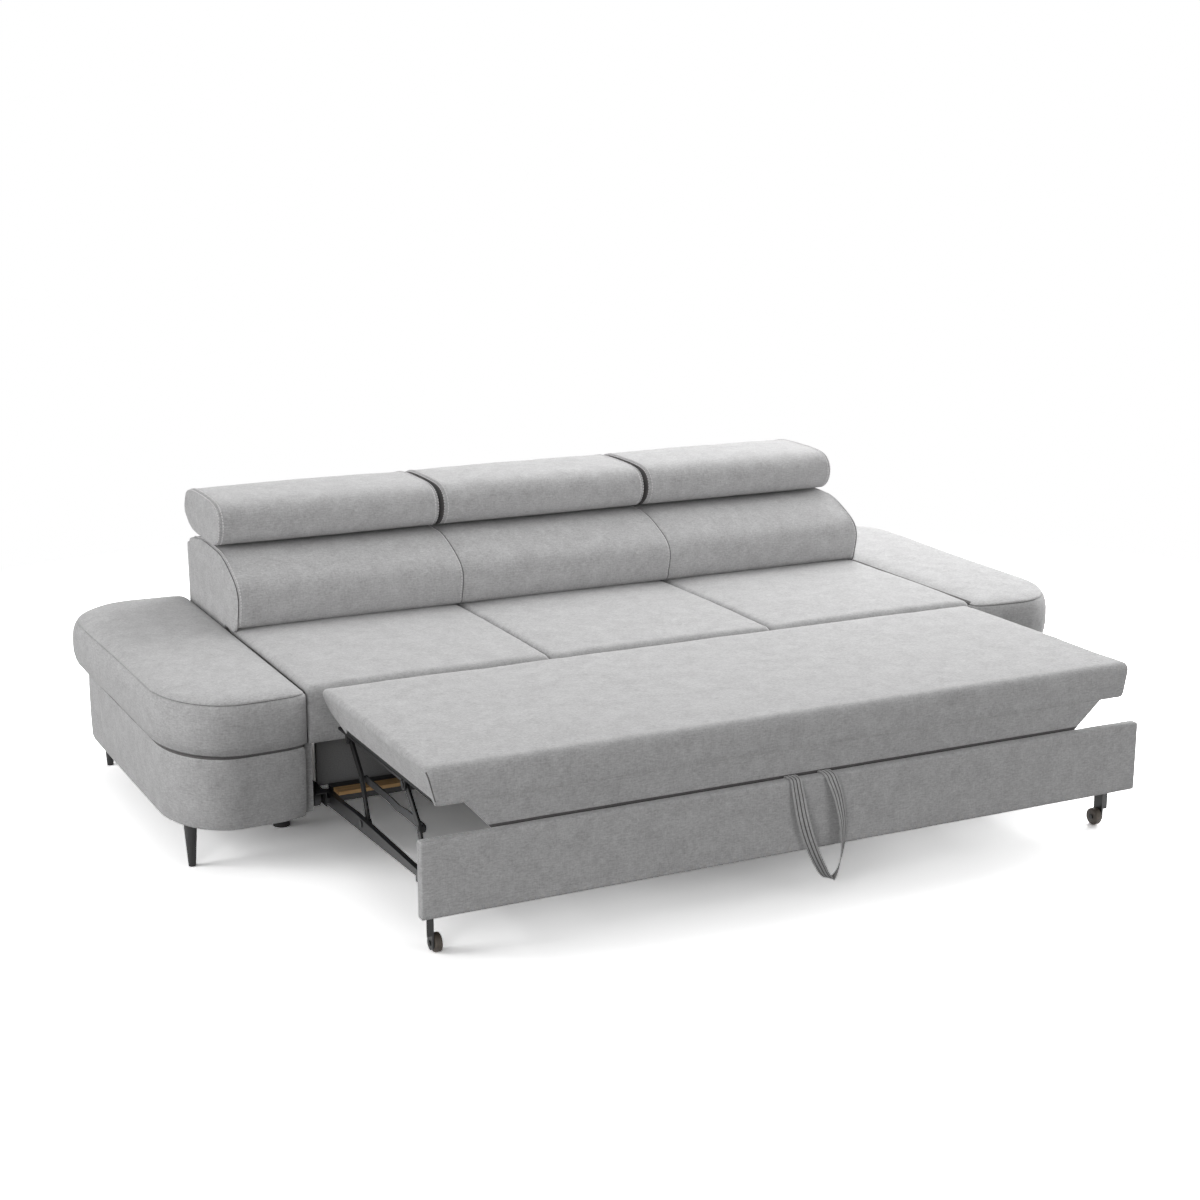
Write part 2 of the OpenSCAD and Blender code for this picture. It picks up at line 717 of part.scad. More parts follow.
// A headrest: full rounded front, gently domed top, and an open recess below for its board and hinges
module headrest_cushion(i) {
    x0 = headrest_x[i] - headrest_half;
    x1 = headrest_x[i] + headrest_half;
    f = headrest_front;
    b = headrest_rear;
    low = back_h + 4;
    t = headrest_t;
    over = board_low + seat_gap + headrest_board_t + soft_gap;
    free = [
        [f + 58, low + 1, 0.2], [f + 36, low + t * 0.06], [f + 15, low + t * 0.19], [f + 3, low + t * 0.36],
        [f, low + t * 0.54], [f + 7, low + t * 0.73], [f + 26, low + t * 0.88], [f + 58, low + t * 0.965],
        [f + 110, low + t], [f + 190, low + t * 1.01], [f + 260, low + t], [b - 60, low + t * 0.96],
        [b - 25, low + t * 0.87], [b - 6, low + t * 0.7], [b, low + t * 0.52], [b - 10, low + t * 0.35, 0.4]
    ];
    n = len(free);
    wall = 22;
    function seated(z, rear_z) = concat(
        [[f + 61, low + 1], [f + 61, (low + 1 + z) / 2], [f + 61.5, z]],
        [for (k = [1:n - 5]) [f + 61.5 + (hinge_y - 23 - f - 61.5) * k / (n - 5), z]],
        [[hinge_y - 18, rear_z], [hinge_y + 12, rear_z + 2]]
    );
    ends = concat(end_round(14), [[wall, 0]]);
    middle = concat([[x0 + wall + soft_gap, 0, 0]], crown(x0, x1, headrest_bulge, 0),
        [[x1 - wall - soft_gap, 0, 0]]);
    color(fabric)
        at_depth(0)
            skin(concat(
                [for (e = ends) cushion_ring(x0 + e[0], free, seated(low + 2, low + 3), e[1])],
                [for (s = middle) cushion_ring(s[0], free, seated(over, over + 6), s[1])],
                [for (e = reversed(ends)) cushion_ring(x1 - e[0], free, seated(low + 2, low + 3), e[1])]));
}
module headrest_cushion_left() { headrest_cushion(0); }
module headrest_cushion_middle() { headrest_cushion(1); }
module headrest_cushion_right() { headrest_cushion(seats - 1); }

// Fabric-covered panel at the front of the pull-out
panel_half = half_w - panel_side_gap;
panel_top = panel_low + panel_tall;
panel_edge = 6;
module front_panel() {
    e = panel_edge;
    color(fabric)
        at_depth(0)
            translate([-panel_half, 0, 0])
                rotate([90, 0, 90])
                    linear_extrude(2 * panel_half)
                        polygon(concat(
                            arc([e, panel_low + e], e, e, 270, 180, 4),
                            arc([e, panel_top - e], e, e, 180, 90, 4),
                            arc([panel_t - e, panel_top - e], e, e, 90, 0, 4),
                            arc([panel_t - e, panel_low + e], e, e, 0, -90, 4)));
}

// Side rails: folded channels that open inwards, with an end plate on the panel
rail_out = half_w - bed_side_gap - 16;
rail_in = rail_out - rail_flange;
rail_high = rail_low + rail_tall;
rail_front = panel_t + seat_gap;
foot_reach = 18;
rail_foot = rear_pivot_y - lever_spacing + foot_reach;
rail_cut = 14;
cut_reach = 40;
rail_edge = [[rail_foot, rail_low + rail_lift], [rail_end, rail_low + rail_lift - rail_fall]];
rail_top = [[rail_end, rail_high - rail_cut], [rear_pivot_y + cut_reach, rail_high], [rail_front, rail_high]];
module side_rail() {
    color(black_steel)
        at_depth(0)
            difference() {
                union() {
                    side_plate(rail_out - steel_t, rail_out,
                        concat([[rail_front, rail_low], [rail_foot, rail_low]], rail_edge, rail_top));
                    side_plate(rail_in, rail_out,
                        concat(rail_edge, [for (i = [1, 0]) rail_edge[i] + [0, steel_t]]));
                    side_plate(rail_in, rail_out,
                        concat(rail_top, [for (i = [2, 1, 0]) rail_top[i] - [0, steel_t]]));
                    block(rail_in, rail_out, rail_front, rail_foot, rail_low, rail_low + steel_t);
                    block(rail_in - 50, rail_out, rail_front, rail_front + 3, rail_low, rail_high + 30);
                }
                for (y = [rear_pivot_y, rear_pivot_y - lever_spacing])
                    translate([0, y, pivot_h])
                        bar_x(rail_out - steel_t - 1, rail_out + 1, base_pin_d / 2 + run_gap);
            }
}
module side_rail_left() { mirror([1, 0, 0]) side_rail(); }
module side_rail_right() { side_rail(); }

// Angle that stiffens the panel between the rails
module front_cross_rail() {
    half = rail_in - 50 - 2;
    color(black_steel)
        at_depth(0) {
            block(-half, half, rail_front, rail_front + 3, rail_low, rail_high);
            block(-half, half, rail_front, rail_front + 28, rail_low, rail_low + 3);
        }
}

// Square tube between the rails' rear ends, with the angle that carries the slat
tube_w = 30;
tube_front = rail_end - 7 - tube_w;
slat_front = tube_front - 43;
slat_t = 9;
slat_seat = rail_low + 21;
rear_board_front = rail_end + 25;
module rear_cross_tube() {
    half = rail_in - seat_gap;
    color(black_steel)
        at_depth(0) {
            difference() {
                block(-half, half, tube_front, tube_front + tube_w, rail_low, rail_low + tube_w);
                block(-half - 1, half + 1, tube_front + 2, tube_front + tube_w - 2,
                    rail_low + 2, rail_low + tube_w - 2);
            }
            block(-half, half, slat_front, tube_front + 1, slat_seat - 3, slat_seat);
            block(-half, half, slat_front, slat_front + 3, rail_low + 6, slat_seat);
            for (x = [-0.66, 0, 0.66] * half)
                block(x - 20, x + 20, tube_front + tube_w - 1, rear_board_front - seat_gap,
                    rail_low + tube_w - 5, rail_low + tube_w);
        }
}
slat_w = 40;
module wooden_slat() {
    color(wood)
        at_depth(0)
            block(-rail_in + 3, rail_in - 3, slat_front, slat_front + slat_w, slat_seat + 0.1, slat_seat + slat_t);
}
rear_board_t = 15;
module drawer_rear_board() {
    color(fabric)
        at_depth(0)
            block(-rail_out - 4, rail_out + 4, rear_board_front, rear_board_front + rear_board_t,
                rail_low + 16, seat_low - 9);
}

// Runners that carry the rear rollers and ride on the guide rollers
runner_in = rail_out + 9;
runner_flange_h = roller_h + roller_d / 2 + seat_gap;
module runners() {
    y0 = guide_roller_y - 36;
    y1 = rear_roller_y + 30;
    color(black_steel)
        at_depth(0)
            both_sides()
                difference() {
                    union() {
                        block(runner_in, runner_in + 3, y0, y1, roller_h - 14, runner_flange_h + 3);
                        block(runner_in, roller_in + roller_w, y0, rear_roller_y - roller_d / 2 - 12,
                            runner_flange_h, runner_flange_h + 3);
                        block(rail_out + seat_gap, runner_in + 1, y0, rail_end - 4, rail_low, rail_low + 12);
                    }
                    translate([0, rear_roller_y, roller_h])
                        bar_x(runner_in - 1, runner_in + 4, roller_axle_d / 2 + run_gap);
                }
}

// Caster brackets, bolted against the rails: a flat cheek with a flange folded outwards at its front edge
caster_x = rail_out + seat_gap;
caster_axle_d = 8;
module caster_brackets() {
    leg_w = 32;
    flange_w = 16;
    color(black_steel)
        at_depth(caster_y)
            both_sides()
                difference() {
                    union() {
                        block(caster_x, caster_x + 4, -leg_w / 2, leg_w / 2, caster_d / 2, rail_high - 4);
                        block(caster_x, caster_x + flange_w, -leg_w / 2, 3 - leg_w / 2, caster_d, rail_high - 4);
                        translate([0, 0, caster_d / 2])
                            bar_x(caster_x, caster_x + 4, leg_w / 2);
                    }
                    translate([0, 0, caster_d / 2])
                        bar_x(caster_x - 1, caster_x + 5, caster_axle_d / 2 + run_gap);
                }
}
wheel_out = caster_x - 1.5;
module caster_wheel() {
    e = 4;
    color(tyre_grey)
        translate([wheel_out - caster_w, caster_y - y_middle, caster_d / 2])
            rotate([0, 90, 0])
                rotate_extrude()
                    polygon(concat(
                        [[caster_axle_d / 2 + run_gap, 0], [caster_d / 2 - e, 0]],
                        arc([caster_d / 2 - e, e], e, e, -90, 0, 4),
                        arc([caster_d / 2 - e, caster_w - e], e, e, 0, 90, 4),
                        [[caster_axle_d / 2 + run_gap, caster_w]]));
}
module caster_wheel_left() { mirror([1, 0, 0]) caster_wheel(); }
module caster_wheel_right() { caster_wheel(); }

// Axles of the casters and of the rear rollers
module drawer_axles() {
    color(grey_steel)
        both_sides() {
            translate([0, caster_y - y_middle, caster_d / 2]) {
                bar_x(wheel_out - caster_w - 1, caster_x + 5, caster_axle_d / 2);
                bar_x(caster_x + 4.3, caster_x + 7, caster_axle_d * 0.8);
                bar_x(wheel_out - caster_w - 3, wheel_out - caster_w - 0.3, caster_axle_d * 0.8);
            }
            translate([0, rear_roller_y - y_middle, roller_h]) {
                bar_x(runner_in - 1, roller_in + roller_w + 1, roller_axle_d / 2);
                bar_x(runner_in - 3, runner_in - 0.3, roller_axle_d * 0.8);
                bar_x(roller_in + roller_w + 0.3, roller_in + roller_w + 2.3, roller_axle_d * 0.75);
            }
        }
}

// Route of the pull strap: over the panel's top, down in front of it and back up, [x, y, z]
strap_rise = panel_top + strap_t / 2 + 0.4;
strap_back = panel_t + strap_t / 2 + 0.6;
strap_route = [
    [-42, strap_back, panel_top - 48], [-42, strap_back, strap_rise - 5], [-42, panel_t - 1, strap_rise],
    [-42, 4, strap_rise], [-42, -2.5, panel_top - 3], [-41, -6, 270], [-38, -11, 245], [-33, -15, 212],
    [-25, -18, 177], [-13, -20, 140], [2, -21, 104], [18, -22, 72], [33, -22, 48],
    [48, -strap_off, 38],
    [62, -22, 48], [72, -22, 74], [78, -22, 108], [80, -21, 142], [78, -19, 176], [73, -16, 209],
    [66, -12, 242], [58, -7, 268], [52, -2.5, panel_top - 3], [50, 4, strap_rise],
    [50, panel_t - 1, strap_rise], [50, strap_back, strap_rise - 5], [50, strap_back, panel_top - 48]
];
module pull_strap() {
    n = len(strap_route);
    // The webbing lies flat on the panel and turns edge-on towards its lowest point
    turn = 62;
    rings = [for (i = [0:n - 1])
        let (p = strap_route[i], t = way(strap_route, i),
            share = max(0, (strap_rise - 12 - p[2]) / (strap_rise - 50)) * (i > 4 && i < n - 4 ? 1 : 0),
            flat = [cos(turn * share), -sin(turn * share), 0],
            side = i < n / 2 ? flat : [-cos(turn * share), -sin(turn * share), 0],
            w = (side - t * (side * t)) / norm(side - t * (side * t)),
            v = cross(t, w))
        [p + w * strap_w / 2 + v * strap_t / 2, p - w * strap_w / 2 + v * strap_t / 2,
            p - w * strap_w / 2 - v * strap_t / 2, p + w * strap_w / 2 - v * strap_t / 2]];
    color(fabric)
        at_depth(0)
            skin(rings);
}

// Linkage layout on the right side, from the outside in
lever_out = rail_in - 3;
lever_in = lever_out - lever_t;
strut_out = lever_in - 5;
strut_in = strut_out - strut_t;
lug_in = lever_out + 2.5;
lug_t = 3;
rear_base = [rear_pivot_y, pivot_h];
front_base = [rear_pivot_y - lever_spacing, pivot_h];
tip = [lever_reach, lever_rise];
elbow = [elbow_reach, elbow_rise];
strut_pin = elbow * strut_share;

// Side view of a cranked lever: an eye round the base pivot, the elbow, and a round tip
function lever_side(base) =
    let (low_turn = atan2(elbow[1], elbow[0]), up = tip - elbow, up_turn = atan2(up[1], up[0]),
        r = lever_w / 2, eye = base_pin_d, neck = asin(r / eye),
        a = [sin(low_turn), -cos(low_turn)], b = [sin(up_turn), -cos(up_turn)],
        mitre = (a + b) / (1 + a * b) * r)
    concat(
        arc(base, eye, eye, low_turn + neck, low_turn + 360 - neck, 16),
        [base + elbow + mitre],
        arc(base + tip, r, r, up_turn - 90, up_turn + 90, 12),
        arc(base + elbow, r, r, up_turn + 90, low_turn + 90, 3));

// A cranked lever with its three bores: base pivot, tip and strut pin
module lever(base, tip_gap, pin_gap) {
    difference() {
        translate([lever_in, 0, 0])
            rotate([90, 0, 90])
                linear_extrude(lever_out - lever_in)
                    polygon(lever_side(base));
        translate([0, base[0], base[1]])
            bar_x(lever_in - 1, lever_out + 1, base_pin_d / 2 + run_gap);
        translate([0, base[0] + tip[0], base[1] + tip[1]])
            bar_x(lever_in - 1, lever_out + 1, link_pin_d / 2 + tip_gap);
        translate([0, base[0] + strut_pin[0], base[1] + strut_pin[1]])
            bar_x(lever_in - 1, lever_out + 1, link_pin_d / 2 + pin_gap);
    }
}
module rear_levers() {
    color(black_steel)
        at_depth(0)
            both_sides()
                lever(rear_base, open_gap, run_gap);
}

// The front levers are welded to a tube that turns round their base pins
torsion_r = base_pin_d / 2 + 6.5;
module front_levers() {
    color(black_steel)
        at_depth(0) {
            both_sides()
                lever(front_base, run_gap, open_gap);
            translate([0, front_base[0], front_base[1]])
                difference() {
                    bar_x(-lever_in - 0.5, lever_in + 0.5, torsion_r);
                    bar_x(-lever_in - 1, lever_in + 1, torsion_r - 2);
                }
        }
}

// Side view of a strut: a flat bar with a joggle in its middle, deeper at its front end
joggle = 3;
strut_front_w = strut_w + 4;
strut_side = let (f = front_base + strut_pin, b = rear_base + strut_pin, r = strut_w / 2, fr = strut_front_w / 2,
        low_bends = [0.32, 0.45, 0.6] * lever_spacing, high_bends = [0.52, 0.4, 0.28] * lever_spacing)
    concat(
        arc(f, fr, fr, 90, 270, 12),
        [f + [low_bends[0], -fr], f + [low_bends[1], -fr - joggle], f + [low_bends[2], -r]],
        arc(b, r, r, -90, 90, 12),
        [f + [high_bends[0], r], f + [high_bends[1], r - joggle], f + [high_bends[2], fr]]);
module struts() {
    color(black_steel)
        at_depth(0)
            both_sides()
                difference() {
                    side_plate(strut_in, strut_out, strut_side);
                    for (b = [rear_base, front_base])
                        translate([0, b[0] + strut_pin[0], b[1] + strut_pin[1]])
                            bar_x(strut_in - 1, strut_out + 1, link_pin_d / 2 + run_gap);
                }
}
module strut_pins() {
    color(grey_steel)
        at_depth(0)
            both_sides()
                for (b = [rear_base, front_base])
                    translate([0, b[0] + strut_pin[0], b[1] + strut_pin[1]]) {
                        bar_x(strut_in - 1, lever_out + 0.5, link_pin_d / 2);
                        bar_x(strut_in - 2.8, strut_in - 0.2, link_pin_d * 0.75);
                        bar_x(strut_out + 0.2, lever_in - 0.2, link_pin_d * 0.8);
                        bar_x(lever_out + 0.2, lever_out + 1.8, link_pin_d * 0.75);
                    }
}

// Base pins: a head outside the rail, a collar up to the lever, and a washer in the torsion tube
module lever_base_pins() {
    color(grey_steel)
        at_depth(0)
            both_sides()
                for (b = [rear_base, front_base])
                    translate([0, b[0], b[1]]) {
                        bar_x(rail_out + 0.2, rail_out + 3, base_pin_d * 0.75);
                        bar_x(lever_in - 3, rail_out + 1, base_pin_d / 2);
                        bar_x(lever_out + 0.2, rail_out - steel_t - 0.2, base_pin_d * 0.7);
                        bar_x(lever_in - 3, lever_in - 0.2, base_pin_d * 0.65);
                    }
}

// Mattress: a soft top, a front that rolls over and a rear that slants down to its bottom
mattress_half = half_w - bed_side_gap;
mattress_board_t = 12;
mattress_board_rear = mattress_rear - 124;
mattress_lip = 10;
mattress_side_lip = 12;
module mattress_cushion() {
    f = mattress_set_back;
    b = mattress_rear;
    e = cushion_edge;
    top = seat_h;
    low = mattress_low;
    over = low + mattress_board_t + 2 * soft_gap;
    free = concat(
        [[f + 2, low, 0.3], [f, low + mattress_t * 0.35]],
        arc([f + e, top - e], e, e, 180, 90, 4),
        [[f + 120, top + 1], [f + mattress_depth * 0.5, top + 1.5], [b - 130, top + 1], [b - 22, top - 1],
            [b - 6, top - 7], [b, top - 20], [b - 4, top - mattress_t * 0.45], [b - 20, low + mattress_t * 0.3],
            [b - 52, low + mattress_t * 0.13], [b - 90, low + mattress_t * 0.03], [b - 118, low, 0]]
    );
    n = len(free);
    up = [f + mattress_lip, mattress_board_rear + soft_gap];
    function seated(z) = concat(
        [[up[0], low]],
        [for (k = [0:n - 3]) [up[0] + (up[1] - up[0]) * k / (n - 3), z]],
        [[up[1], low]]
    );
    side = mattress_side_lip;
    x1 = mattress_half;
    ends = end_round(side);
    mids = crown(-x1, x1, 0, 1);
    color(fabric)
        at_depth(0)
            skin(concat(
                [for (s = ends) cushion_ring(-x1 + s[0], free, seated(low + 0.5), s[1])],
                [for (s = concat([[-x1 + side + soft_gap, 0, 0]], mids, [[x1 - side - soft_gap, 0, 0]]))
                    cushion_ring(s[0], free, seated(over), s[1], s[2])],
                [for (s = reversed(ends)) cushion_ring(x1 - s[0], free, seated(low + 0.5), s[1])]));
}
module mattress_board() {
    x = mattress_half - mattress_side_lip - 2 * soft_gap;
    color(ply)
        at_depth(0)
            block(-x, x, mattress_set_back + mattress_lip + soft_gap, mattress_board_rear,
                mattress_low + soft_gap, mattress_low + soft_gap + mattress_board_t);
}

// Flap that leans from the mattress's front to behind the panel, narrower towards its lower edge
skirt_y = panel_t + 5;
skirt_t = 5;
skirt_end_in = 75;
skirt_foot_in = 140;
module mattress_skirt() {
    wide = mattress_half - skirt_end_in;
    narrow = mattress_half - skirt_foot_in;
    low = panel_top - 2;
    tall = mattress_low - soft_gap - low;
    lean = atan2(skirt_y - mattress_set_back - 1.5, tall);
    color(fabric)
        at_depth(skirt_y + skirt_t)
            translate([0, 0, low])
                rotate([90 + lean, 0, 0])
                    linear_extrude(skirt_t)
                        polygon([[-narrow, 0], [narrow, 0], [wide, tall / cos(lean)], [-wide, tall / cos(lean)]]);
}

// Steel frame under the mattress board, with lugs for the levers' tips
lug_r = 13;
frame_edge_in = 12;
module mattress_frame() {
    low = mattress_low - 3;
    y0 = front_base[0] + tip[0] - 30;
    y1 = rear_base[0] + tip[0] + 20;
    x0 = lug_in - 26;
    color(black_steel)
        at_depth(0) {
            both_sides()
                difference() {
                    union() {
                        block(x0, lug_in + lug_t, y0, y1, low, mattress_low);
                        block(lug_in, mattress_half - frame_edge_in, y0, y1, low - 3, mattress_low);
                        for (b = [front_base, rear_base])
                            let (y = b[0] + tip[0], z = b[1] + tip[1]) {
                                block(lug_in, lug_in + lug_t, y - lug_r, y + lug_r, z, low + 1);
                                translate([0, y, z])
                                    bar_x(lug_in, lug_in + lug_t, lug_r);
                            }
                    }
                    for (b = [front_base, rear_base])
                        translate([0, b[0] + tip[0], b[1] + tip[1]])
                            bar_x(lug_in - 1, lug_in + lug_t + 1, link_pin_d / 2 + run_gap);
                }
            for (y = [y0 + 10, y1 - 90])
                block(-x0 - 1, x0 + 1, y, y + 30, low, mattress_low);
        }
}
module mattress_pins() {
    color(grey_steel)
        at_depth(0)
            both_sides()
                for (b = [front_base, rear_base])
                    translate([0, b[0] + tip[0], b[1] + tip[1]]) {
                        bar_x(lever_in - 1, lug_in + lug_t + 1, link_pin_d / 2);
                        bar_x(lever_in - 2.5, lever_in - 0.2, link_pin_d * 0.75);
                        bar_x(lug_in + lug_t + 0.2, lug_in + lug_t + 2.2, link_pin_d * 0.75);
                        bar_x(lever_out + 0.2, lug_in - 0.2, link_pin_d * 0.75);
                    }
}

arm_cushion_left();
arm_cushion_right();
arm_base_left();
arm_base_right();
arm_frame_left();
arm_frame_right();
legs();
inner_feet();
side_board_left();
side_board_right();
arm_bolts();
seat_frame();
seat_webbing();
seat_cushion_left();
seat_cushion_middle();
seat_cushion_right();
guide_tracks();
guide_roller_axles();
back_frame();
back_cushion();
back_cover();
headrest_brackets();
headrest_hinge_pins();
headrest_cushion_left();
headrest_cushion_middle();
headrest_cushion_right();
headrest_board_left();
headrest_board_middle();
headrest_board_right();
headrest_leaves_left();
headrest_leaves_middle();
headrest_leaves_right();
front_panel();
front_cross_rail();
side_rail_left();
side_rail_right();
rear_cross_tube();
wooden_slat();
drawer_rear_board();
runners();
caster_brackets();
drawer_axles();
pull_strap();
lever_base_pins();
caster_wheel_left();
caster_wheel_right();
rear_roller_left();
rear_roller_right();
guide_roller_left();
guide_roller_right();
rear_levers();
front_levers();
struts();
strut_pins();
mattress_cushion();
mattress_skirt();
mattress_board();
mattress_frame();
mattress_pins();
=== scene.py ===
import bpy
import bmesh
import json
import math
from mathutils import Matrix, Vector, noise


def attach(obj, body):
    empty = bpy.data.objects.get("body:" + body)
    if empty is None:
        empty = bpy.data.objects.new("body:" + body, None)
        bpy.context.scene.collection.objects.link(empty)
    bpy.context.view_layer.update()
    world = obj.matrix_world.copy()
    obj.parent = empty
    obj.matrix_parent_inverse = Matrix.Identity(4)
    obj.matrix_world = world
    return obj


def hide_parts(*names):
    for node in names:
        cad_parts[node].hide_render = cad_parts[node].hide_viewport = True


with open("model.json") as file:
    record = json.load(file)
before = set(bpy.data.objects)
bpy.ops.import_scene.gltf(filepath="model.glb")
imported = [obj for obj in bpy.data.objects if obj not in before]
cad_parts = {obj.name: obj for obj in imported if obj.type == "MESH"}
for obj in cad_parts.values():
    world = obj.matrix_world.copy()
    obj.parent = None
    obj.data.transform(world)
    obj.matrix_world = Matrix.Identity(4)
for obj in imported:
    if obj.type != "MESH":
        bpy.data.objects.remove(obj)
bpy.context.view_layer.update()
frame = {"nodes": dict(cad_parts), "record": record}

mm = 0.001  # the pieces' values are in mm, the shifts of their cloth pattern in m
depthMiddle = 890  # depths are laid out in mm from the panel's outer face, as in the part's source
seatCount = 3
halfWidth = 980  # mm, half the length of seats and bed
softGap = 0.6  # mm, clearance between padded pieces, as in the part's source
curveSteps = 12  # steps of a curve between two given points
rippleSize = 150  # mm, width of the slow waves in a filled cover
sides = ("left", "middle", "right")
print("frame loaded:", len(frame["nodes"]), "nodes")


# Camera
photoCamera = {
    "place": (-2.4155, -4.6801, 1.8146),
    "turnRight": 0.458,  # radians from +Y towards +X
    "tiltDown": 0.242,
    "lens": 60.76,
    "sensor": 36.0,
}
cameraData = bpy.data.cameras.new("photoCamera")
cameraData.lens = photoCamera["lens"]
cameraData.sensor_width = photoCamera["sensor"]
cameraData.clip_end = 100
camera = bpy.data.objects.new("photoCamera", cameraData)
camera.location = photoCamera["place"]
camera.rotation_euler = (math.pi / 2 - photoCamera["tiltDown"], 0, -photoCamera["turnRight"])
bpy.context.scene.collection.objects.link(camera)
bpy.context.scene.camera = camera
bpy.context.scene.view_settings.view_transform = "Standard"


# Materials
def linearColour(hexValue):
    parts = [int(hexValue[i:i + 2], 16) / 255 for i in (1, 3, 5)]
    return [c / 12.92 if c <= 0.04045 else ((c + 0.055) / 1.055) ** 2.4 for c in parts] + [1.0]


def addNode(tree, kind, settings=None, inputs=None):
    node = tree.nodes.new(kind)
    for key, value in (settings or {}).items():
        setattr(node, key, value)
    for key, value in (inputs or {}).items():
        if isinstance(value, bpy.types.NodeSocket):
            tree.links.new(value, node.inputs[key])
        else:
            node.inputs[key].default_value = value
    return node


def newMaterial(name):
    material = bpy.data.materials.new(name)
    material.use_nodes = True
    tree = material.node_tree
    return material, tree, tree.nodes["Principled BSDF"]


fabricLook = {
    "light": "#dbdbdb", "dark": "#acabac",  # light neutral grey
    "mottle": (0.39, 0.61),  # noise values between which the colour turns from dark to light
    "cloud": 0.05,  # size of the pile's light and dark patches, m
    "slubLong": 0.016, "slubTall": 0.0042,  # yarn slubs, m, a little coarser than real so that they show
    "yarn": 0.0021, "yarnStretch": 0.3,  # thread spacing, m, coarser than real too
    "warpSlubs": 0.36, "warpThreads": 0.4,  # share of the second direction
    "slubs": 0.66, "threads": 0.38, "bumpThreads": 0.55,  # share of slubs and threads in colour and in height
    "bump": 0.6, "bumpDepth": 0.0011,
    "rough": 0.92, "specular": 0.25, "sheen": 0.28, "sheenRough": 0.45,
}


def velour(name, coordinate, look):
    # Brushed flat-woven chenille: matt, softly mottled where the pile lies over, slubs along weft and warp
    material, tree, shader = newMaterial(name)
    place = addNode(tree, "ShaderNodeTexCoord").outputs[coordinate]
    cloud = addNode(tree, "ShaderNodeTexNoise", None,
                    {"Vector": place, "Scale": 1 / look["cloud"], "Detail": 5.0, "Roughness": 0.66,
                     "Distortion": 0.5}).outputs["Fac"]
    long, tall, yarn = 1 / look["slubLong"], 1 / look["slubTall"], 1 / look["yarn"]
    slow = yarn * look["yarnStretch"]
    layers = []
    for scale, detail in (((long, tall, tall), 3.0), ((tall, long, tall), 3.0),
                          ((slow, yarn, yarn), 2.0), ((yarn, slow, yarn), 2.0)):
        mapped = addNode(tree, "ShaderNodeMapping", None, {"Vector": place, "Scale": scale})
        layer = addNode(tree, "ShaderNodeTexNoise", None,
                        {"Vector": mapped.outputs["Vector"], "Scale": 1.0, "Detail": detail,
                         "Roughness": 0.6})
        layers.append(layer.outputs["Fac"])
    mix, number = "ShaderNodeMix", {"data_type": "FLOAT"}
    slub = addNode(tree, mix, number, {0: look["warpSlubs"], 2: layers[0], 3: layers[1]}).outputs[0]
    weave = addNode(tree, mix, number, {0: look["warpThreads"], 2: layers[2], 3: layers[3]}).outputs[0]
    patches = addNode(tree, mix, number, {0: look["slubs"], 2: cloud, 3: slub}).outputs[0]
    shade = addNode(tree, mix, number, {0: look["threads"], 2: patches, 3: weave}).outputs[0]
    height = addNode(tree, mix, number, {0: look["bumpThreads"], 2: slub, 3: weave}).outputs[0]
    ramp = addNode(tree, "ShaderNodeValToRGB", None, {"Fac": shade})
    ramp.color_ramp.elements[0].position = look["mottle"][0]
    ramp.color_ramp.elements[0].color = linearColour(look["dark"])
    ramp.color_ramp.elements[1].position = look["mottle"][1]
    ramp.color_ramp.elements[1].color = linearColour(look["light"])
    tree.links.new(ramp.outputs["Color"], shader.inputs["Base Color"])
    bump = addNode(tree, "ShaderNodeBump", None,
                   {"Height": height, "Strength": look["bump"], "Distance": look["bumpDepth"]})
    tree.links.new(bump.outputs["Normal"], shader.inputs["Normal"])
    shader.inputs["Roughness"].default_value = look["rough"]
    shader.inputs["Specular IOR Level"].default_value = look["specular"]
    shader.inputs["Sheen Weight"].default_value = look["sheen"]
    shader.inputs["Sheen Roughness"].default_value = look["sheenRough"]
    return material


finishLook = {"contrast": 0.3, "glossSpread": 0.07}


def plainFinish(name, light, dark, scale, rough, metal=0.0, bump=0.1, bumpDepth=0.0002):
    # A finish whose colour and gloss vary a little with a fine noise, scale is the noise's size in m
    material, tree, shader = newMaterial(name)
    place = addNode(tree, "ShaderNodeTexCoord").outputs["Object"]
    mapped = addNode(tree, "ShaderNodeMapping", None, {"Vector": place, "Scale": [1 / scale] * 3})
    grain = addNode(tree, "ShaderNodeTexNoise", None,
                    {"Vector": mapped.outputs["Vector"], "Scale": 1.0, "Detail": 4.0,
                     "Roughness": 0.6}).outputs["Fac"]
    ramp = addNode(tree, "ShaderNodeValToRGB", None, {"Fac": grain})
    ramp.color_ramp.elements[0].position = 0.5 - finishLook["contrast"] / 2
    ramp.color_ramp.elements[0].color = linearColour(dark)
    ramp.color_ramp.elements[1].position = 0.5 + finishLook["contrast"] / 2
    ramp.color_ramp.elements[1].color = linearColour(light)
    tree.links.new(ramp.outputs["Color"], shader.inputs["Base Color"])
    gloss = addNode(tree, "ShaderNodeMapRange", None,
                    {"Value": grain, "To Min": rough - finishLook["glossSpread"],
                     "To Max": rough + finishLook["glossSpread"]})
    tree.links.new(gloss.outputs["Result"], shader.inputs["Roughness"])
    bumpNode = addNode(tree, "ShaderNodeBump", None,
                       {"Height": grain, "Strength": bump, "Distance": bumpDepth})
    tree.links.new(bumpNode.outputs["Normal"], shader.inputs["Normal"])
    shader.inputs["Metallic"].default_value = metal
    return material


timberLook = {"ringSize": 0.012, "stretch": (0.06, 1, 1), "rings": (0.36, 0.62), "bump": 0.25,
              "bumpDepth": 0.0004}


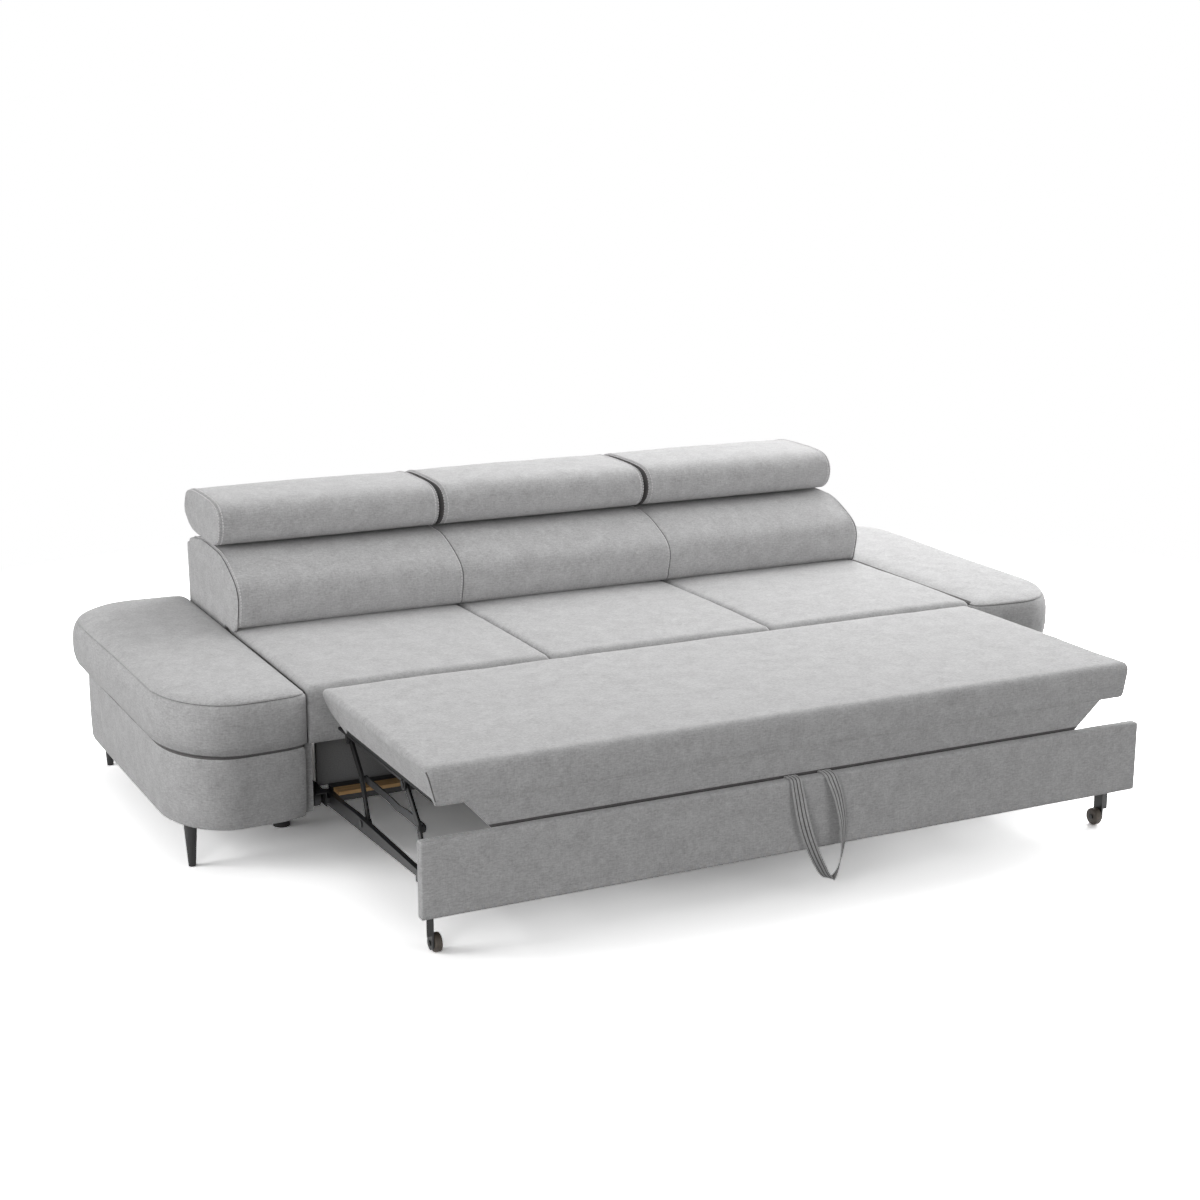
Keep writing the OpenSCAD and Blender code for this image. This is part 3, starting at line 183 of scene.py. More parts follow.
def timber(name, light, dark, rough):
    # Sawn or planed wood: long darker rings along X, ringSize apart, m
    material, tree, shader = newMaterial(name)
    place = addNode(tree, "ShaderNodeTexCoord").outputs["Object"]
    mapped = addNode(tree, "ShaderNodeMapping", None, {"Vector": place, "Scale": timberLook["stretch"]})
    rings = addNode(tree, "ShaderNodeTexNoise", None,
                    {"Vector": mapped.outputs["Vector"], "Scale": 1 / timberLook["ringSize"], "Detail": 5.0,
                     "Roughness": 0.65, "Distortion": 0.8}).outputs["Fac"]
    ramp = addNode(tree, "ShaderNodeValToRGB", None, {"Fac": rings})
    ramp.color_ramp.elements[0].position = timberLook["rings"][0]
    ramp.color_ramp.elements[0].color = linearColour(dark)
    ramp.color_ramp.elements[1].position = timberLook["rings"][1]
    ramp.color_ramp.elements[1].color = linearColour(light)
    tree.links.new(ramp.outputs["Color"], shader.inputs["Base Color"])
    bump = addNode(tree, "ShaderNodeBump", None,
                   {"Height": rings, "Strength": timberLook["bump"], "Distance": timberLook["bumpDepth"]})
    tree.links.new(bump.outputs["Normal"], shader.inputs["Normal"])
    shader.inputs["Roughness"].default_value = rough
    return material


# The sofa's cloth: covers follow their own UV, boards and frames have it glued on, and a darker copy is
# painted shade in seams, gaps, creases, end caps and under bulges
chenille = velour("chenilleVelour", "UV", fabricLook)
chenilleFlat = velour("chenilleVelourOnBoards", "Object", fabricLook)
paintedShadeChenille = velour("chenilleVelourPaintedShade", "UV", {**fabricLook, "light": "#777575", "dark": "#615f5f"})
# Twisted thread: pale dots that stand out from the grey
polyesterThread = plainFinish("polyesterThread", "#f0eeef", "#dddbdc", 0.0015, 0.6, bump=0.3)
# Powder-coated legs, rails and levers: near black with a fine orange peel, the edges catch a soft light
powderCoat = plainFinish("powderCoatedSteel", "#141415", "#0c0c0d", 0.004, 0.46, bump=0.25, bumpDepth=0.0003)
# Phosphated struts and pins: a mottled dark grey, less black than the levers
greySteel = plainFinish("phosphatedSteel", "#4a4a4b", "#333334", 0.01, 0.4, metal=0.55, bump=0.15)
# Zinc-plated bolts, axles and hinge pins: a cool pale shine
zincSteel = plainFinish("zincPlatedSteel", "#a3a5a8", "#85878a", 0.008, 0.36, metal=1.0)
# Moulded feet and hubs: an even black with a dull gloss
blackPlastic = plainFinish("mouldedPolypropylene", "#161616", "#0e0e0e", 0.002, 0.5, bump=0.2)
# Cast treads of the casters: brownish grey, scuffed
casterTread = plainFinish("castPolyurethane", "#5c544b", "#453e37", 0.012, 0.55, bump=0.15)
# Turned rollers: dark grey with a little more gloss than the moulded parts
rollerNylon = plainFinish("turnedNylon", "#2a2a2b", "#1b1b1c", 0.003, 0.45)
# Steamed beech: the one warm colour, with long fine rings
beechSlat = timber("steamedBeech", "#d8b17c", "#b78e5c", 0.5)
# Sawn spruce of the hidden frames: dull and greyed by the shade
softwood = timber("sawnSpruce", "#b3a793", "#968a77", 0.7)
# Needled felt that covers the plywood boards: flat black that swallows the light
needleFelt = plainFinish("needleFelt", "#2b2b2c", "#1f1f20", 0.003, 0.95, bump=0.4)
# Spun lining behind the mechanism: a flat mid grey, darker than the sofa's cloth, as painted shade under the
# seat
liningPaintedShade = plainFinish("spunLiningPaintedShade", "#8d8d8e", "#7b7b7c", 0.003, 0.9, bump=0.4)
# Woven elastic under the seats: dark bands with coarse ribs
elasticWebbing = plainFinish("elasticWebbing", "#3b3b3d", "#242426", 0.0022, 0.85, bump=0.8, bumpDepth=0.0006)
slotMaterials = {
    "fabric": chenilleFlat, "wood": softwood, "plywood": needleFelt, "black_steel": powderCoat,
    "zinc_steel": zincSteel, "black_plastic": blackPlastic, "webbing": elasticWebbing,
    "roller_plastic": rollerNylon,
}
ownMaterials = (
    (casterTread, ("caster_wheel_left", "caster_wheel_right")),
    (greySteel, ("struts", "lever_base_pins", "strut_pins", "mattress_pins")),
    (blackPlastic, ("drawer_axles",)),
    (beechSlat, ("wooden_slat",)),
    (chenilleFlat, ("arm_frame_left", "arm_frame_right", "side_board_left", "side_board_right")),
    (liningPaintedShade, ("drawer_rear_board",)),
)
for part in frame["record"]["subparts"]:
    mesh = frame["nodes"][part["node"]].data
    mesh.materials.clear()
    mesh.materials.append(slotMaterials[part["material_slot"]])
for material, names in ownMaterials:
    for name in names:
        frame["nodes"][name].data.materials[0] = material
print("materials made")


# Shape helpers
def rowPoint(x, y, z):
    return Vector((x * mm, (y - depthMiddle) * mm, z * mm))


def clamp(value):
    return max(0.0, min(1.0, value))


def arcPoints(cy, cz, ry, rz, start, end, steps):
    turns = [math.radians(start + (end - start) * i / steps) for i in range(steps + 1)]
    return [(cy + ry * math.cos(t), cz + rz * math.sin(t)) for t in turns]


def smoothPath(points, spacing, corners=(), count=None):
    # a smooth curve through the points, broken at corners, in even steps
    dense = []
    for i in range(len(points) - 1):
        a, b = Vector(points[i]), Vector(points[i + 1])
        before = a if i == 0 or i in corners else Vector(points[i - 1])
        after = b if i + 2 >= len(points) or i + 1 in corners else Vector(points[i + 2])
        span = (b - a).length
        leave = (b - before) * (span / max((b - before).length, 1e-9))
        arrive = (after - a) * (span / max((after - a).length, 1e-9))
        for k in range(curveSteps):
            t = k / curveSteps
            dense.append(a * (2 * t ** 3 - 3 * t ** 2 + 1) + leave * (t ** 3 - 2 * t ** 2 + t)
                         + b * (3 * t ** 2 - 2 * t ** 3) + arrive * (t ** 3 - t ** 2))
    dense.append(Vector(points[-1]))
    return evenSteps(dense, spacing, count)


def evenSteps(dense, spacing, count=None):
    lengths = [0.0]
    for a, b in zip(dense, dense[1:]):
        lengths.append(lengths[-1] + (b - a).length)
    count = count or max(2, round(lengths[-1] / spacing))
    result, at = [], 0
    for i in range(count + 1):
        target = lengths[-1] * i / count
        while at < len(dense) - 2 and lengths[at + 1] < target:
            at += 1
        share = (target - lengths[at]) / max(lengths[at + 1] - lengths[at], 1e-9)
        result.append(dense[at].lerp(dense[at + 1], clamp(share)))
    return result


def wayOut(path, i, closed=False):
    # the normal of a path in its own plane, to its right
    n = len(path)
    a = path[(i - 1) % n] if closed else path[max(i - 1, 0)]
    b = path[(i + 1) % n] if closed else path[min(i + 1, n - 1)]
    d = (b - a).normalized()
    return Vector((d[1], -d[0]))


def makeMesh(name, points, faces, corners, material, body, smoothAngle, paintedShadeFaces=()):
    # corners: the UV of each face's corners, m; paintedShadeFaces: the faces given the darker cloth as
    # painted shade
    mesh = bpy.data.meshes.new(name)
    mesh.from_pydata([tuple(p) for p in points], [], faces)
    layer = mesh.uv_layers.new(name="UVMap")
    layer.data.foreach_set("uv", [c for face in corners for uv in face for c in uv])
    piece = bpy.data.objects.new(name, mesh)
    bpy.context.scene.collection.objects.link(piece)
    shell = bmesh.new()
    shell.from_mesh(mesh)
    bmesh.ops.recalc_face_normals(shell, faces=shell.faces)
    shell.to_mesh(mesh)
    shell.free()
    mesh.materials.append(material)
    if paintedShadeFaces:
        mesh.materials.append(paintedShadeChenille)
        for k in paintedShadeFaces:
            mesh.polygons[k].material_index = 1
    bpy.ops.object.select_all(action="DESELECT")
    piece.select_set(True)
    bpy.context.view_layer.objects.active = piece
    bpy.ops.object.shade_smooth_by_angle(angle=math.radians(smoothAngle))
    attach(piece, body)
    return piece


def loftCushion(name, rings, capCount, shift, body, shadedBands=(), shadedEnds=False):
    # a skin over closed rings, with capCount flat end rings and a last face at each end; painted shade, the
    # darker cloth, lies in the shaded bands, each (x, half width), and all over the ends with shadedEnds;
    # shift moves the pattern, m
    n, m = len(rings[0]), len(rings)
    full = rings[m // 2]
    around = [0.0]
    for j in range(n):
        around.append(around[-1] + (full[(j + 1) % n] - full[j]).length)

    def inShadedBand(x):
        return any(abs(x / mm - place) < wide for place, wide in shadedBands)

    faces, corners, paintedShadeFaces = [], [], []
    for i in range(m - 1):
        flat = i < capCount or i >= m - 1 - capCount
        if inShadedBand((rings[i][0].x + rings[i + 1][0].x) / 2) or (flat and shadedEnds):
            paintedShadeFaces += range(len(faces), len(faces) + n)
        for j in range(n):
            k = (j + 1) % n
            quad = ((i, j), (i, k), (i + 1, k), (i + 1, j))
            faces.append([a * n + b for a, b in quad])
            if flat:
                corners.append([(rings[a][b].y + shift, rings[a][b].z) for a, b in quad])
            else:
                corners.append([(rings[a][b].x + shift, around[j + 1 if s in (1, 2) else j])
                                for s, (a, b) in enumerate(quad)])
    for i in (0, m - 1):
        if shadedEnds or inShadedBand(rings[i][0].x):
            paintedShadeFaces.append(len(faces))
        faces.append([i * n + j for j in range(n)])
        corners.append([(rings[i][j].y + shift, rings[i][j].z) for j in range(n)])
    return makeMesh(name, [p for r in rings for p in r], faces, corners, chenille, body, 50, paintedShadeFaces)


def ripple(point, size, height):
    # slow unevenness of a filled cover, with a finer wave on top
    fine = noise.noise(point / (size * 0.36) + Vector((7, 3, 1)))
    return noise.noise(point / size) * height + fine * height * 0.35


# Stitching
stitchLook = {"long": 5.6, "pitch": 8.4, "radius": 1.3,  # thread thicker than real, so that it shows
              "raised": 0.7,  # share of its radius by which it stands off the cloth
              "sides": 6, "taper": ((0.0, 0.35), (0.18, 1.0), (0.82, 1.0), (1.0, 0.35))}


def stitchLine(name, path, normals, body):
    # short threads along a path of row points, each a bead half sunk in the cloth
    points, faces = [], []
    lengths = [0.0]
    for a, b in zip(path, path[1:]):
        lengths.append(lengths[-1] + (b - a).length)

    def at(distance):
        for i in range(len(path) - 1):
            if lengths[i + 1] >= distance:
                share = (distance - lengths[i]) / max(lengths[i + 1] - lengths[i], 1e-9)
                return path[i].lerp(path[i + 1], share), normals[i].lerp(normals[i + 1], share).normalized()
        return path[-1], normals[-1]

    step, long = stitchLook["pitch"] * mm, stitchLook["long"] * mm
    radius, count, taper = stitchLook["radius"] * mm, stitchLook["sides"], stitchLook["taper"]
    for k in range(int(lengths[-1] / step)):
        start, up = at(k * step)
        end, _ = at(k * step + long)
        side = (end - start).normalized().cross(up).normalized()
        base = len(points)
        for share, size in taper:
            middle = start.lerp(end, share) + up * radius * stitchLook["raised"]
            for s in range(count):
                turn = math.pi * 2 * s / count
                points.append(middle + (side * math.cos(turn) + up * math.sin(turn)) * radius * size)
        for ring in range(len(taper) - 1):
            a = base + ring * count
            for s in range(count):
                t = (s + 1) % count
                faces.append([a + s, a + t, a + count + t, a + count + s])
        faces.append([base + s for s in range(count)])
        faces.append([base + count * (len(taper) - 1) + s for s in range(count)])
    corners = [[(points[i].x, points[i].z) for i in face] for face in faces]
    piece = makeMesh(name, points, faces, corners, polyesterThread, body, 60)


def seamThread(name, top, x, lift, trim, softness, body):
    # one line of stitches across the sofa's depth, on the free edge of a cushion's section
    outs = [-wayOut(top, j) for j in range(len(top))]
    path, ups = [], []
    for j in range(trim[0], len(top) - trim[1]):
        wave = ripple(Vector((x, top[j][0], top[j][1])), rippleSize, softness)
        q = top[j] + outs[j] * (wave + lift)
        path.append(rowPoint(x, q[0], q[1]))
        ups.append(Vector((0, outs[j][0], outs[j][1])))
    stitchLine(name, path, ups, body)


# Cushions swept across the sofa
def sectionRings(profile, weights, stations, values, endProfile=None):
    # profile: closed (y, z) path in mm; stations: (x, depth, rise); values: the piece's softness, its spine,
    # and its ends as rings (share of the way to the spine, bulge); endProfile: the section near an end
    n = len(profile)
    normals = [-wayOut(profile, i, True) for i in range(n)]
    top = max(p[1] for p in profile)
    low = min(p[1] for p in profile)
    a, b = Vector(values["spine"][0]), Vector(values["spine"][1])

    def section(x, depth, rise):
        ring = []
        inset = min(x - stations[0][0], stations[-1][0] - x)
        for j, p in enumerate(endProfile if endProfile and inset < values["endWall"] else profile):
            lift = rise * (max(p[1] - low, 0) / (top - low)) ** 4 * weights[j]
            move = ripple(Vector((x, p[0], p[1])), rippleSize, values["softness"]) - depth
            q = p + normals[j] * move * weights[j]
            ring.append(rowPoint(x, q[0], q[1] + lift))
        return ring

    def cap(edge, x, outward):
        rings = []
        for share, bulge in values["ends"]:
            ring = []
            for p in edge:
                q = Vector((p.y / mm + depthMiddle, p.z / mm))
                core = a.lerp(b, clamp((q - a).dot(b - a) / (b - a).length_squared))
                q = q.lerp(core, share)
                ring.append(rowPoint(x + outward * bulge, q[0], q[1]))
            rings.append(ring)
        return rings

    body = [section(*s) for s in stations]
    first = cap(body[0], stations[0][0], -1)
    return list(reversed(first)) + body + cap(body[-1], stations[-1][0], 1)


def roundEnd(x, r, steps, sign):
    # stations over a rounded end, from the face inwards
    turns = [math.pi / 2 * i / steps for i in range(steps + 1)]
    return [(x + sign * r * (1 - math.cos(t)), r * (1 - math.sin(t)), 0) for t in turns]


def pullAt(r, inset):
    # how far the cover lies back at a place on a rounded end
    return 0 if inset >= r else r - math.sqrt(r * r - (r - inset) ** 2)


def seamStations(x, wide, deep, crease):
    # a stitched seam: the cover pulls in over a width, with a sharp crease in the middle
    pulls = [(-wide, 0), (-wide * 0.6, 0.12), (-wide * 0.3, 0.38), (-wide * 0.12, 0.68), (-crease, 0.85),
             (-crease * 0.35, 1.25), (0, 1.5), (crease * 0.35, 1.25), (crease, 0.85), (wide * 0.12, 0.68),
             (wide * 0.3, 0.38), (wide * 0.6, 0.12), (wide, 0)]
    return [(x + dx, deep * share, 0) for dx, share in pulls]


# a narrow stitched groove, mm
groove = {"half": 2.4, "shoulder": 1.1, "shoulderPull": 0.6, "deep": 2.2}


def addSeam(stations, seam, pull):
    # a groove at one place, in place of the stations near it
    kept = [s for s in stations if abs(s[0] - seam) > groove["half"]]
    for off, share in ((groove["half"], 0), (groove["shoulder"], groove["shoulderPull"])):
        depth = pull + groove["deep"] * share
        kept += [(seam - off, depth, 0), (seam + off, depth, 0)]
    return sorted(kept + [(seam, pull + groove["deep"], 0)])


def fillStations(stations, spacing):
    # adds plain stations between those given, so that the cloth has even faces
    result = [stations[0]]
    for s in stations[1:]:
        last = result[-1]
        steps = max(1, int((s[0] - last[0]) / spacing))
        for k in range(1, steps):
            t = k / steps
            result.append(tuple(last[i] + (s[i] - last[i]) * t for i in range(3)))
        result.append(s)
    return result


def bow(x, x0, x1, power):
    # 0 at both ends and 1 in the middle
    return 1 - (2 * clamp((x - x0) / (x1 - x0)) - 1) ** power


def crowned(stations, x0, x1, rise):
    # lifts the middle of a cushion's top
    return [(x, depth, rise * bow(x, x0, x1, 4)) for x, depth, _ in stations]


def closedProfile(free, seated, spacing, count=None):
    # the free edge and the seated one in even steps, and how far the cover can move at each point
    top = smoothPath(free, spacing)
    under = smoothPath(seated, spacing * 2, range(len(seated)), count)
    path = top + list(reversed(under))
    weights = [1.0] * len(top) + [0.0] * len(under)
    fade = 4  # points over which the movement fades out where the cover is fixed
    for i in range(fade):
        weights[i] = min(weights[i], i / fade)
        weights[len(top) - 1 - i] = min(weights[len(top) - 1 - i], i / fade)
    return path, weights


def endShape(free, closed, spacing, profile):
    # the section at a closed end, with as many points as the profile
    under = len(profile) - len(smoothPath(free, spacing)) - 1
    return closedProfile(free, closed, spacing, under)[0]


def tagCushion(nodes):
    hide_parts(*nodes)


# Seats
seat = {"front": 723, "rear": 1417, "low": 297.5, "under": 329, "top": 440, "edge": 22, "foot": 1324,
        "lip": 22, "gap": 1.0, "armGap": 3.6, "endRound": 15, "crown": 4.0, "softness": 1.6, "spacing": 12,
        "step": 16, "ends": ((0.4, 0),), "spine": ((800, 380), (1380, 385)), "shift": 0.7}


def buildSeats():
    f, e, top, rear = seat["front"], seat["edge"], seat["top"], seat["rear"]
    free = ([(f + 7, seat["low"]), (f + 2, seat["low"] + 5), (f + 0.5, seat["low"] + 18), (f, 361)]
            + arcPoints(f + e, top - e, e, e, 180, 90, 6)
            + [(f + e + 90, top + 1), (f + 300, top + 2), (seat["foot"] - 30, top), (rear - 30, top - 2),
               (rear, top - 4)])
    seated = [(f + seat["lip"], seat["low"]), (f + seat["lip"], seat["under"]), (rear, seat["under"])]
    profile, weights = closedProfile(free, seated, seat["spacing"])
    width = 2 * halfWidth / seatCount
    for i, side in enumerate(sides):
        x0 = -halfWidth + width * i + (seat["armGap"] if i == 0 else seat["gap"])
        x1 = -halfWidth + width * (i + 1) - (seat["armGap"] if i == seatCount - 1 else seat["gap"])
        stations = roundEnd(x0, seat["endRound"], 6, 1)
        stations += reversed(roundEnd(x1, seat["endRound"], 6, -1))
        stations = crowned(fillStations(stations, seat["step"]), x0, x1, seat["crown"])
        rings = sectionRings(profile, weights, stations, seat)
        # painted shade: the end caps get the darker cloth, in the gaps between the cushions and beside the
        # arms
        piece = loftCushion("seatCushion" + side.capitalize(), rings, len(seat["ends"]), seat["shift"] * i,
                            "sofa", shadedEnds=True)
        tagCushion(["seat_cushion_" + side])


buildSeats()
print("seats made")


# Backrest
backrest = {"foot": 1324, "low": 442.6, "high": 630, "rear": 1756.6, "boxFront": 1420.4, "boxTop": 544.6,
            "endRound": 16, "endWall": 23.5,  # the section is closed nearer to the ends than endWall
            "endDrop": 12, "endSink": 9, "endReach": 12, "sinkTall": 40,  # the ends reach lower
            "rearHold": 0.7, "rearReach": 90,
            "seamWide": 70, "seamDeep": 4.2, "crease": 3.2, "seamShade": 1.5,  # upright seams between the seats; seamShade is the half width of their painted shade
            "endSeam": 8, "endStitch": 14, "stitchOff": 6.5, "stitchPull": 3.2, "trim": (3, 6),
            "ends": ((0.05, 0.6), (0.2, 1.6), (0.5, 2.0), (0.9, 2.0)), "spine": ((1400, 520), (1680, 560)),
            "shift": 2.3, "softness": 1.6, "spacing": 11, "step": 16}


def backrestProfile():
    b = backrest
    f, low, rear, up = b["foot"], b["low"], b["rear"], b["high"] - b["low"]
    front = [(10, 0), (-3, 0.045), (-10, 0.13), (-19, 0.3), (-21, 0.46), (-12, 0.58), (8, 0.68), (46, 0.79)]
    over = [(95, 0.9), (140, 0.965), (190, 0.985), (260, 1), (330, 0.99), (385, 0.955)]
    free = [(f + y, low + up * share) for y, share in front + over]
    free[0] = (f + 10, low + softGap)
    free += [(rear - 18, low + up * 0.935), (rear - 3, low + up * 0.89), (rear, low + up * 0.75)]
    seated = [(b["boxFront"], low + softGap), (b["boxFront"], b["boxTop"]), (rear, b["boxTop"])]
    closed = [(b["boxFront"], low + softGap), (b["boxFront"] + 2, low - b["endDrop"]),
              (rear - 2, low - b["endDrop"])]
    return free, seated, closed


def buildBackrest():
    b = backrest
    free, seated, closed = backrestProfile()
    profile, weights = closedProfile(free, seated, b["spacing"])
    for i, q in enumerate(profile):  # the rear edge is drawn over the box and hardly pulls in at the ends
        weights[i] *= 1 - b["rearHold"] * clamp((q[0] - b["rear"]) / b["rearReach"] + 1)
    endProfile = endShape(free, closed, b["spacing"], profile)
    width = 2 * halfWidth / seatCount
    between = [-halfWidth + width * i for i in range(1, seatCount)]
    x0, x1 = -halfWidth + softGap, halfWidth - softGap
    stations = roundEnd(x0, b["endRound"], 7, 1) + list(reversed(roundEnd(x1, b["endRound"], 7, -1)))
    for x in between:
        stations += seamStations(x, b["seamWide"], b["seamDeep"], b["crease"])
    for wall in (x0 + b["endWall"], x1 - b["endWall"]):
        stations += [(wall - 0.5, 0, 0), (wall + 0.5, 0, 0)]
    closing = [x0 + b["endSeam"], x1 - b["endSeam"]]
    for seam in closing:
        stations = addSeam(stations, seam, pullAt(b["endRound"], b["endSeam"]))
    stations = fillStations(sorted(stations), b["step"])
    rings = sectionRings(profile, weights, stations, b, endProfile)
    for q in [q for ring in rings for q in ring]:  # the ends reach down between seat and arm
        near = 1 - (halfWidth - abs(q.x) / mm) / b["endReach"]
        if near > 0:
            above = q.z / mm - b["low"] + 1
            q.z -= b["endSink"] * min(1, near * 3) * max(0, 1 - above / b["sinkTall"]) * mm
    # painted shade: darker cloth along the seams between the seats and at the closed ends
    piece = loftCushion("backrestCushion", rings, len(b["ends"]), b["shift"], "sofa",
                        shadedBands=[(x, b["seamShade"]) for x in between + closing])
    tagCushion(["back_cushion"])
    # stitches beside the seams between the seats and along the closed ends
    top = smoothPath(free, 6)
    endPull = pullAt(b["endRound"], b["endStitch"])
    lines = [(x - b["stitchOff"], b["stitchPull"]) for x in between]
    lines += [(x0 + b["endStitch"], endPull), (x1 - b["endStitch"], endPull)]
    for number, (x, pull) in enumerate(lines):
        seamThread("backrestStitch%d" % number, top, x, -pull, b["trim"], b["softness"], "sofa")


buildBackrest()
print("backrest made")


# Headrests
headrest = {"front": 1460, "rear": 1815, "low": 634, "thick": 122, "half": 320.67, "hinge": 1755.2,
            "over": 654, "endRound": 11, "endWall": 24, "bulge": 3.0, "softness": 1.5, "spacing": 9.5,
            "step": 14, "seamIn": 8, "stitchOff": 5, "trim": (4, 4),
            "gapShade": 3.0, "gapDepth": 8,  # painted shade on the ends that face each other in the narrow gaps
            "ends": ((0.06, 1.0), (0.25, 2.2), (0.6, 2.8), (0.92, 2.8)),
            "spine": ((1526, 702), (1749, 702)), "shift": 3.1, "shiftStep": 0.9}


def headrestProfile():
    h = headrest
    f, b, low, t = h["front"], h["rear"], h["low"], h["thick"]
    free = [(f + 58, low + 1), (f + 36, low + t * 0.06), (f + 15, low + t * 0.19), (f + 3, low + t * 0.36),
            (f, low + t * 0.54), (f + 7, low + t * 0.73), (f + 26, low + t * 0.88), (f + 58, low + t * 0.965),
            (f + 110, low + t), (f + 190, low + t * 1.01), (f + 260, low + t), (b - 60, low + t * 0.96),
            (b - 25, low + t * 0.87), (b - 6, low + t * 0.7), (b, low + t * 0.52), (b - 10, low + t * 0.35)]
    seated = [(f + 61, low + 1), (f + 61.5, h["over"]), (h["hinge"] - 23, h["over"]),
              (h["hinge"] - 18, h["over"] + 6), (h["hinge"] + 12, h["over"] + 8)]
    closed = [(f + 61, low + 1), (f + 61.5, low + 1.5), (h["hinge"] - 60, low + 3),
              (h["hinge"] - 18, low + 8), (h["hinge"] + 12, low + 18)]
    return free, seated, closed


def buildHeadrests():
    h = headrest
    free, seated, closed = headrestProfile()
    profile, weights = closedProfile(free, seated, h["spacing"])
    endProfile = endShape(free, closed, h["spacing"], profile)
    width = 2 * halfWidth / seatCount
    top = smoothPath(free, 6)
    for i, side in enumerate(sides):
        centre = -halfWidth + width * (i + 0.5)
        x0, x1 = centre - h["half"], centre + h["half"]
        body = "headrest_" + side
        stations = roundEnd(x0, h["endRound"], 6, 1) + list(reversed(roundEnd(x1, h["endRound"], 6, -1)))
        for seam in (x0 + h["seamIn"], x1 - h["seamIn"]):
            stations = addSeam(stations, seam, pullAt(h["endRound"], h["seamIn"]))
        stations = fillStations(stations, h["step"])
        stations = [(x, depth - h["bulge"] * bow(x, x0, x1, 2), rise) for x, depth, rise in stations]
        rings = sectionRings(profile, weights, stations, h, endProfile)
        # painted shade: the ends that face a neighbour get the darker cloth
        facing = []
        if i > 0:
            facing.append((x0 - h["gapDepth"], h["gapDepth"] + h["gapShade"]))
        if i < seatCount - 1:
            facing.append((x1 + h["gapDepth"], h["gapDepth"] + h["gapShade"]))
        piece = loftCushion("headrestCushion" + side.capitalize(), rings, len(h["ends"]),
                            h["shift"] + h["shiftStep"] * i, body, shadedBands=facing)
        tagCushion(["headrest_cushion_" + side])
        beside = (h["seamIn"] - h["stitchOff"], h["seamIn"] + h["stitchOff"])
        for number, x in enumerate([x0 + d for d in beside] + [x1 - d for d in beside]):
            lift = h["bulge"] * bow(x, x0, x1, 2) - pullAt(h["endRound"], min(x - x0, x1 - x))
            seamThread("headrestStitch%s%d" % (side.capitalize(), number), top, x, lift, h["trim"],
                       h["softness"], body)


buildHeadrests()
print("headrests made")


# Mattress section
mattress = {"front": 20, "rear": 719, "top": 440, "low": 354, "thick": 86, "edge": 22, "half": 937,
            "boardRear": 595.6, "over": 367.2, "lip": 10, "sideRound": 14,
            "frontPull": 0.3, "frontReach": 130,  # the sewn front corners stay sharp
            # lean of the left and of the right side, at the foot and at the top
            "sideOut": ((-12, 11), (-3, 13)), "sideReach": 120,
            "seamRings": (4, 5), "seamTop": 14,
            "ends": ((0.04, 0.0), (0.3, 0.0), (0.9, 0.0)), "spine": ((70, 400), (640, 412)),
            "crown": 1.5, "softness": 1.8, "spacing": 12, "step": 16, "shift": 6.0}


def mattressProfile():
    m = mattress
    f, b, e, top, low, t = m["front"], m["rear"], m["edge"], m["top"], m["low"], m["thick"]
    free = [(f + 4, low), (f + 0.6, low + 3), (f, low + t * 0.35)]
    free += arcPoints(f + e, top - e, e, e, 180, 90, 6)
    free += [(f + 120, top + 1), (f + 350, top + 1.5), (b - 130, top + 1), (b - 22, top - 1),
             (b - 6, top - 7), (b, top - 20), (b - 4, top - t * 0.45), (b - 20, low + t * 0.3),
             (b - 52, low + t * 0.13), (b - 90, low + t * 0.03), (b - 118, low)]
    seated = [(f + m["lip"], low), (f + m["lip"], m["over"]), (m["boardRear"], m["over"]),
              (m["boardRear"], low)]
    return closedProfile(free, seated, m["spacing"])


def buildMattress():
    m = mattress
    f, top, low = m["front"], m["top"], m["low"]
    profile, weights = mattressProfile()
    for i, q in enumerate(profile):
        if q[0] < f + m["frontReach"] and q[1] > low - 1 and i < len(profile) // 2:
            weights[i] = m["frontPull"] + (1 - m["frontPull"]) * max(0, (q[0] - f) / m["frontReach"]) ** 2
    x0, x1 = -m["half"], m["half"]
    stations = roundEnd(x0, m["sideRound"], 7, 1) + list(reversed(roundEnd(x1, m["sideRound"], 7, -1)))
    stations = crowned(fillStations(stations, m["step"]), x0, x1, m["crown"])
    rings = sectionRings(profile, weights, stations, m)
    for q in [q for ring in rings for q in ring]:
        atFoot, atTop = m["sideOut"][1 if q.x > 0 else 0]
        near = max(0, 1 - (m["half"] - abs(q.x) / mm) / m["sideReach"])
        lean = atFoot + (atTop - atFoot) * (q.z / mm - low) / m["thick"]
        q.x += lean * near ** 2 * mm * math.copysign(1, q.x)
    piece = loftCushion("mattressCushion", rings, len(m["ends"]), m["shift"], "mattress")
    # painted shade: the darker cloth for the corner seams
    piece.data.materials.append(paintedShadeChenille)
    seamHigh = top - m["seamTop"]
    upright = [j for j, q in enumerate(profile) if q[0] < f + m["lip"] / 2 and low < q[1] < seamHigh]
    for i in m["seamRings"]:  # painted shade along the upright seams at the front corners
        for j in upright:
            piece.data.polygons[i * len(profile) + j].material_index = 1
            piece.data.polygons[(len(rings) - 2 - i) * len(profile) + j].material_index = 1
    tagCushion(["mattress_cushion"])


buildMattress()
print("mattress made")


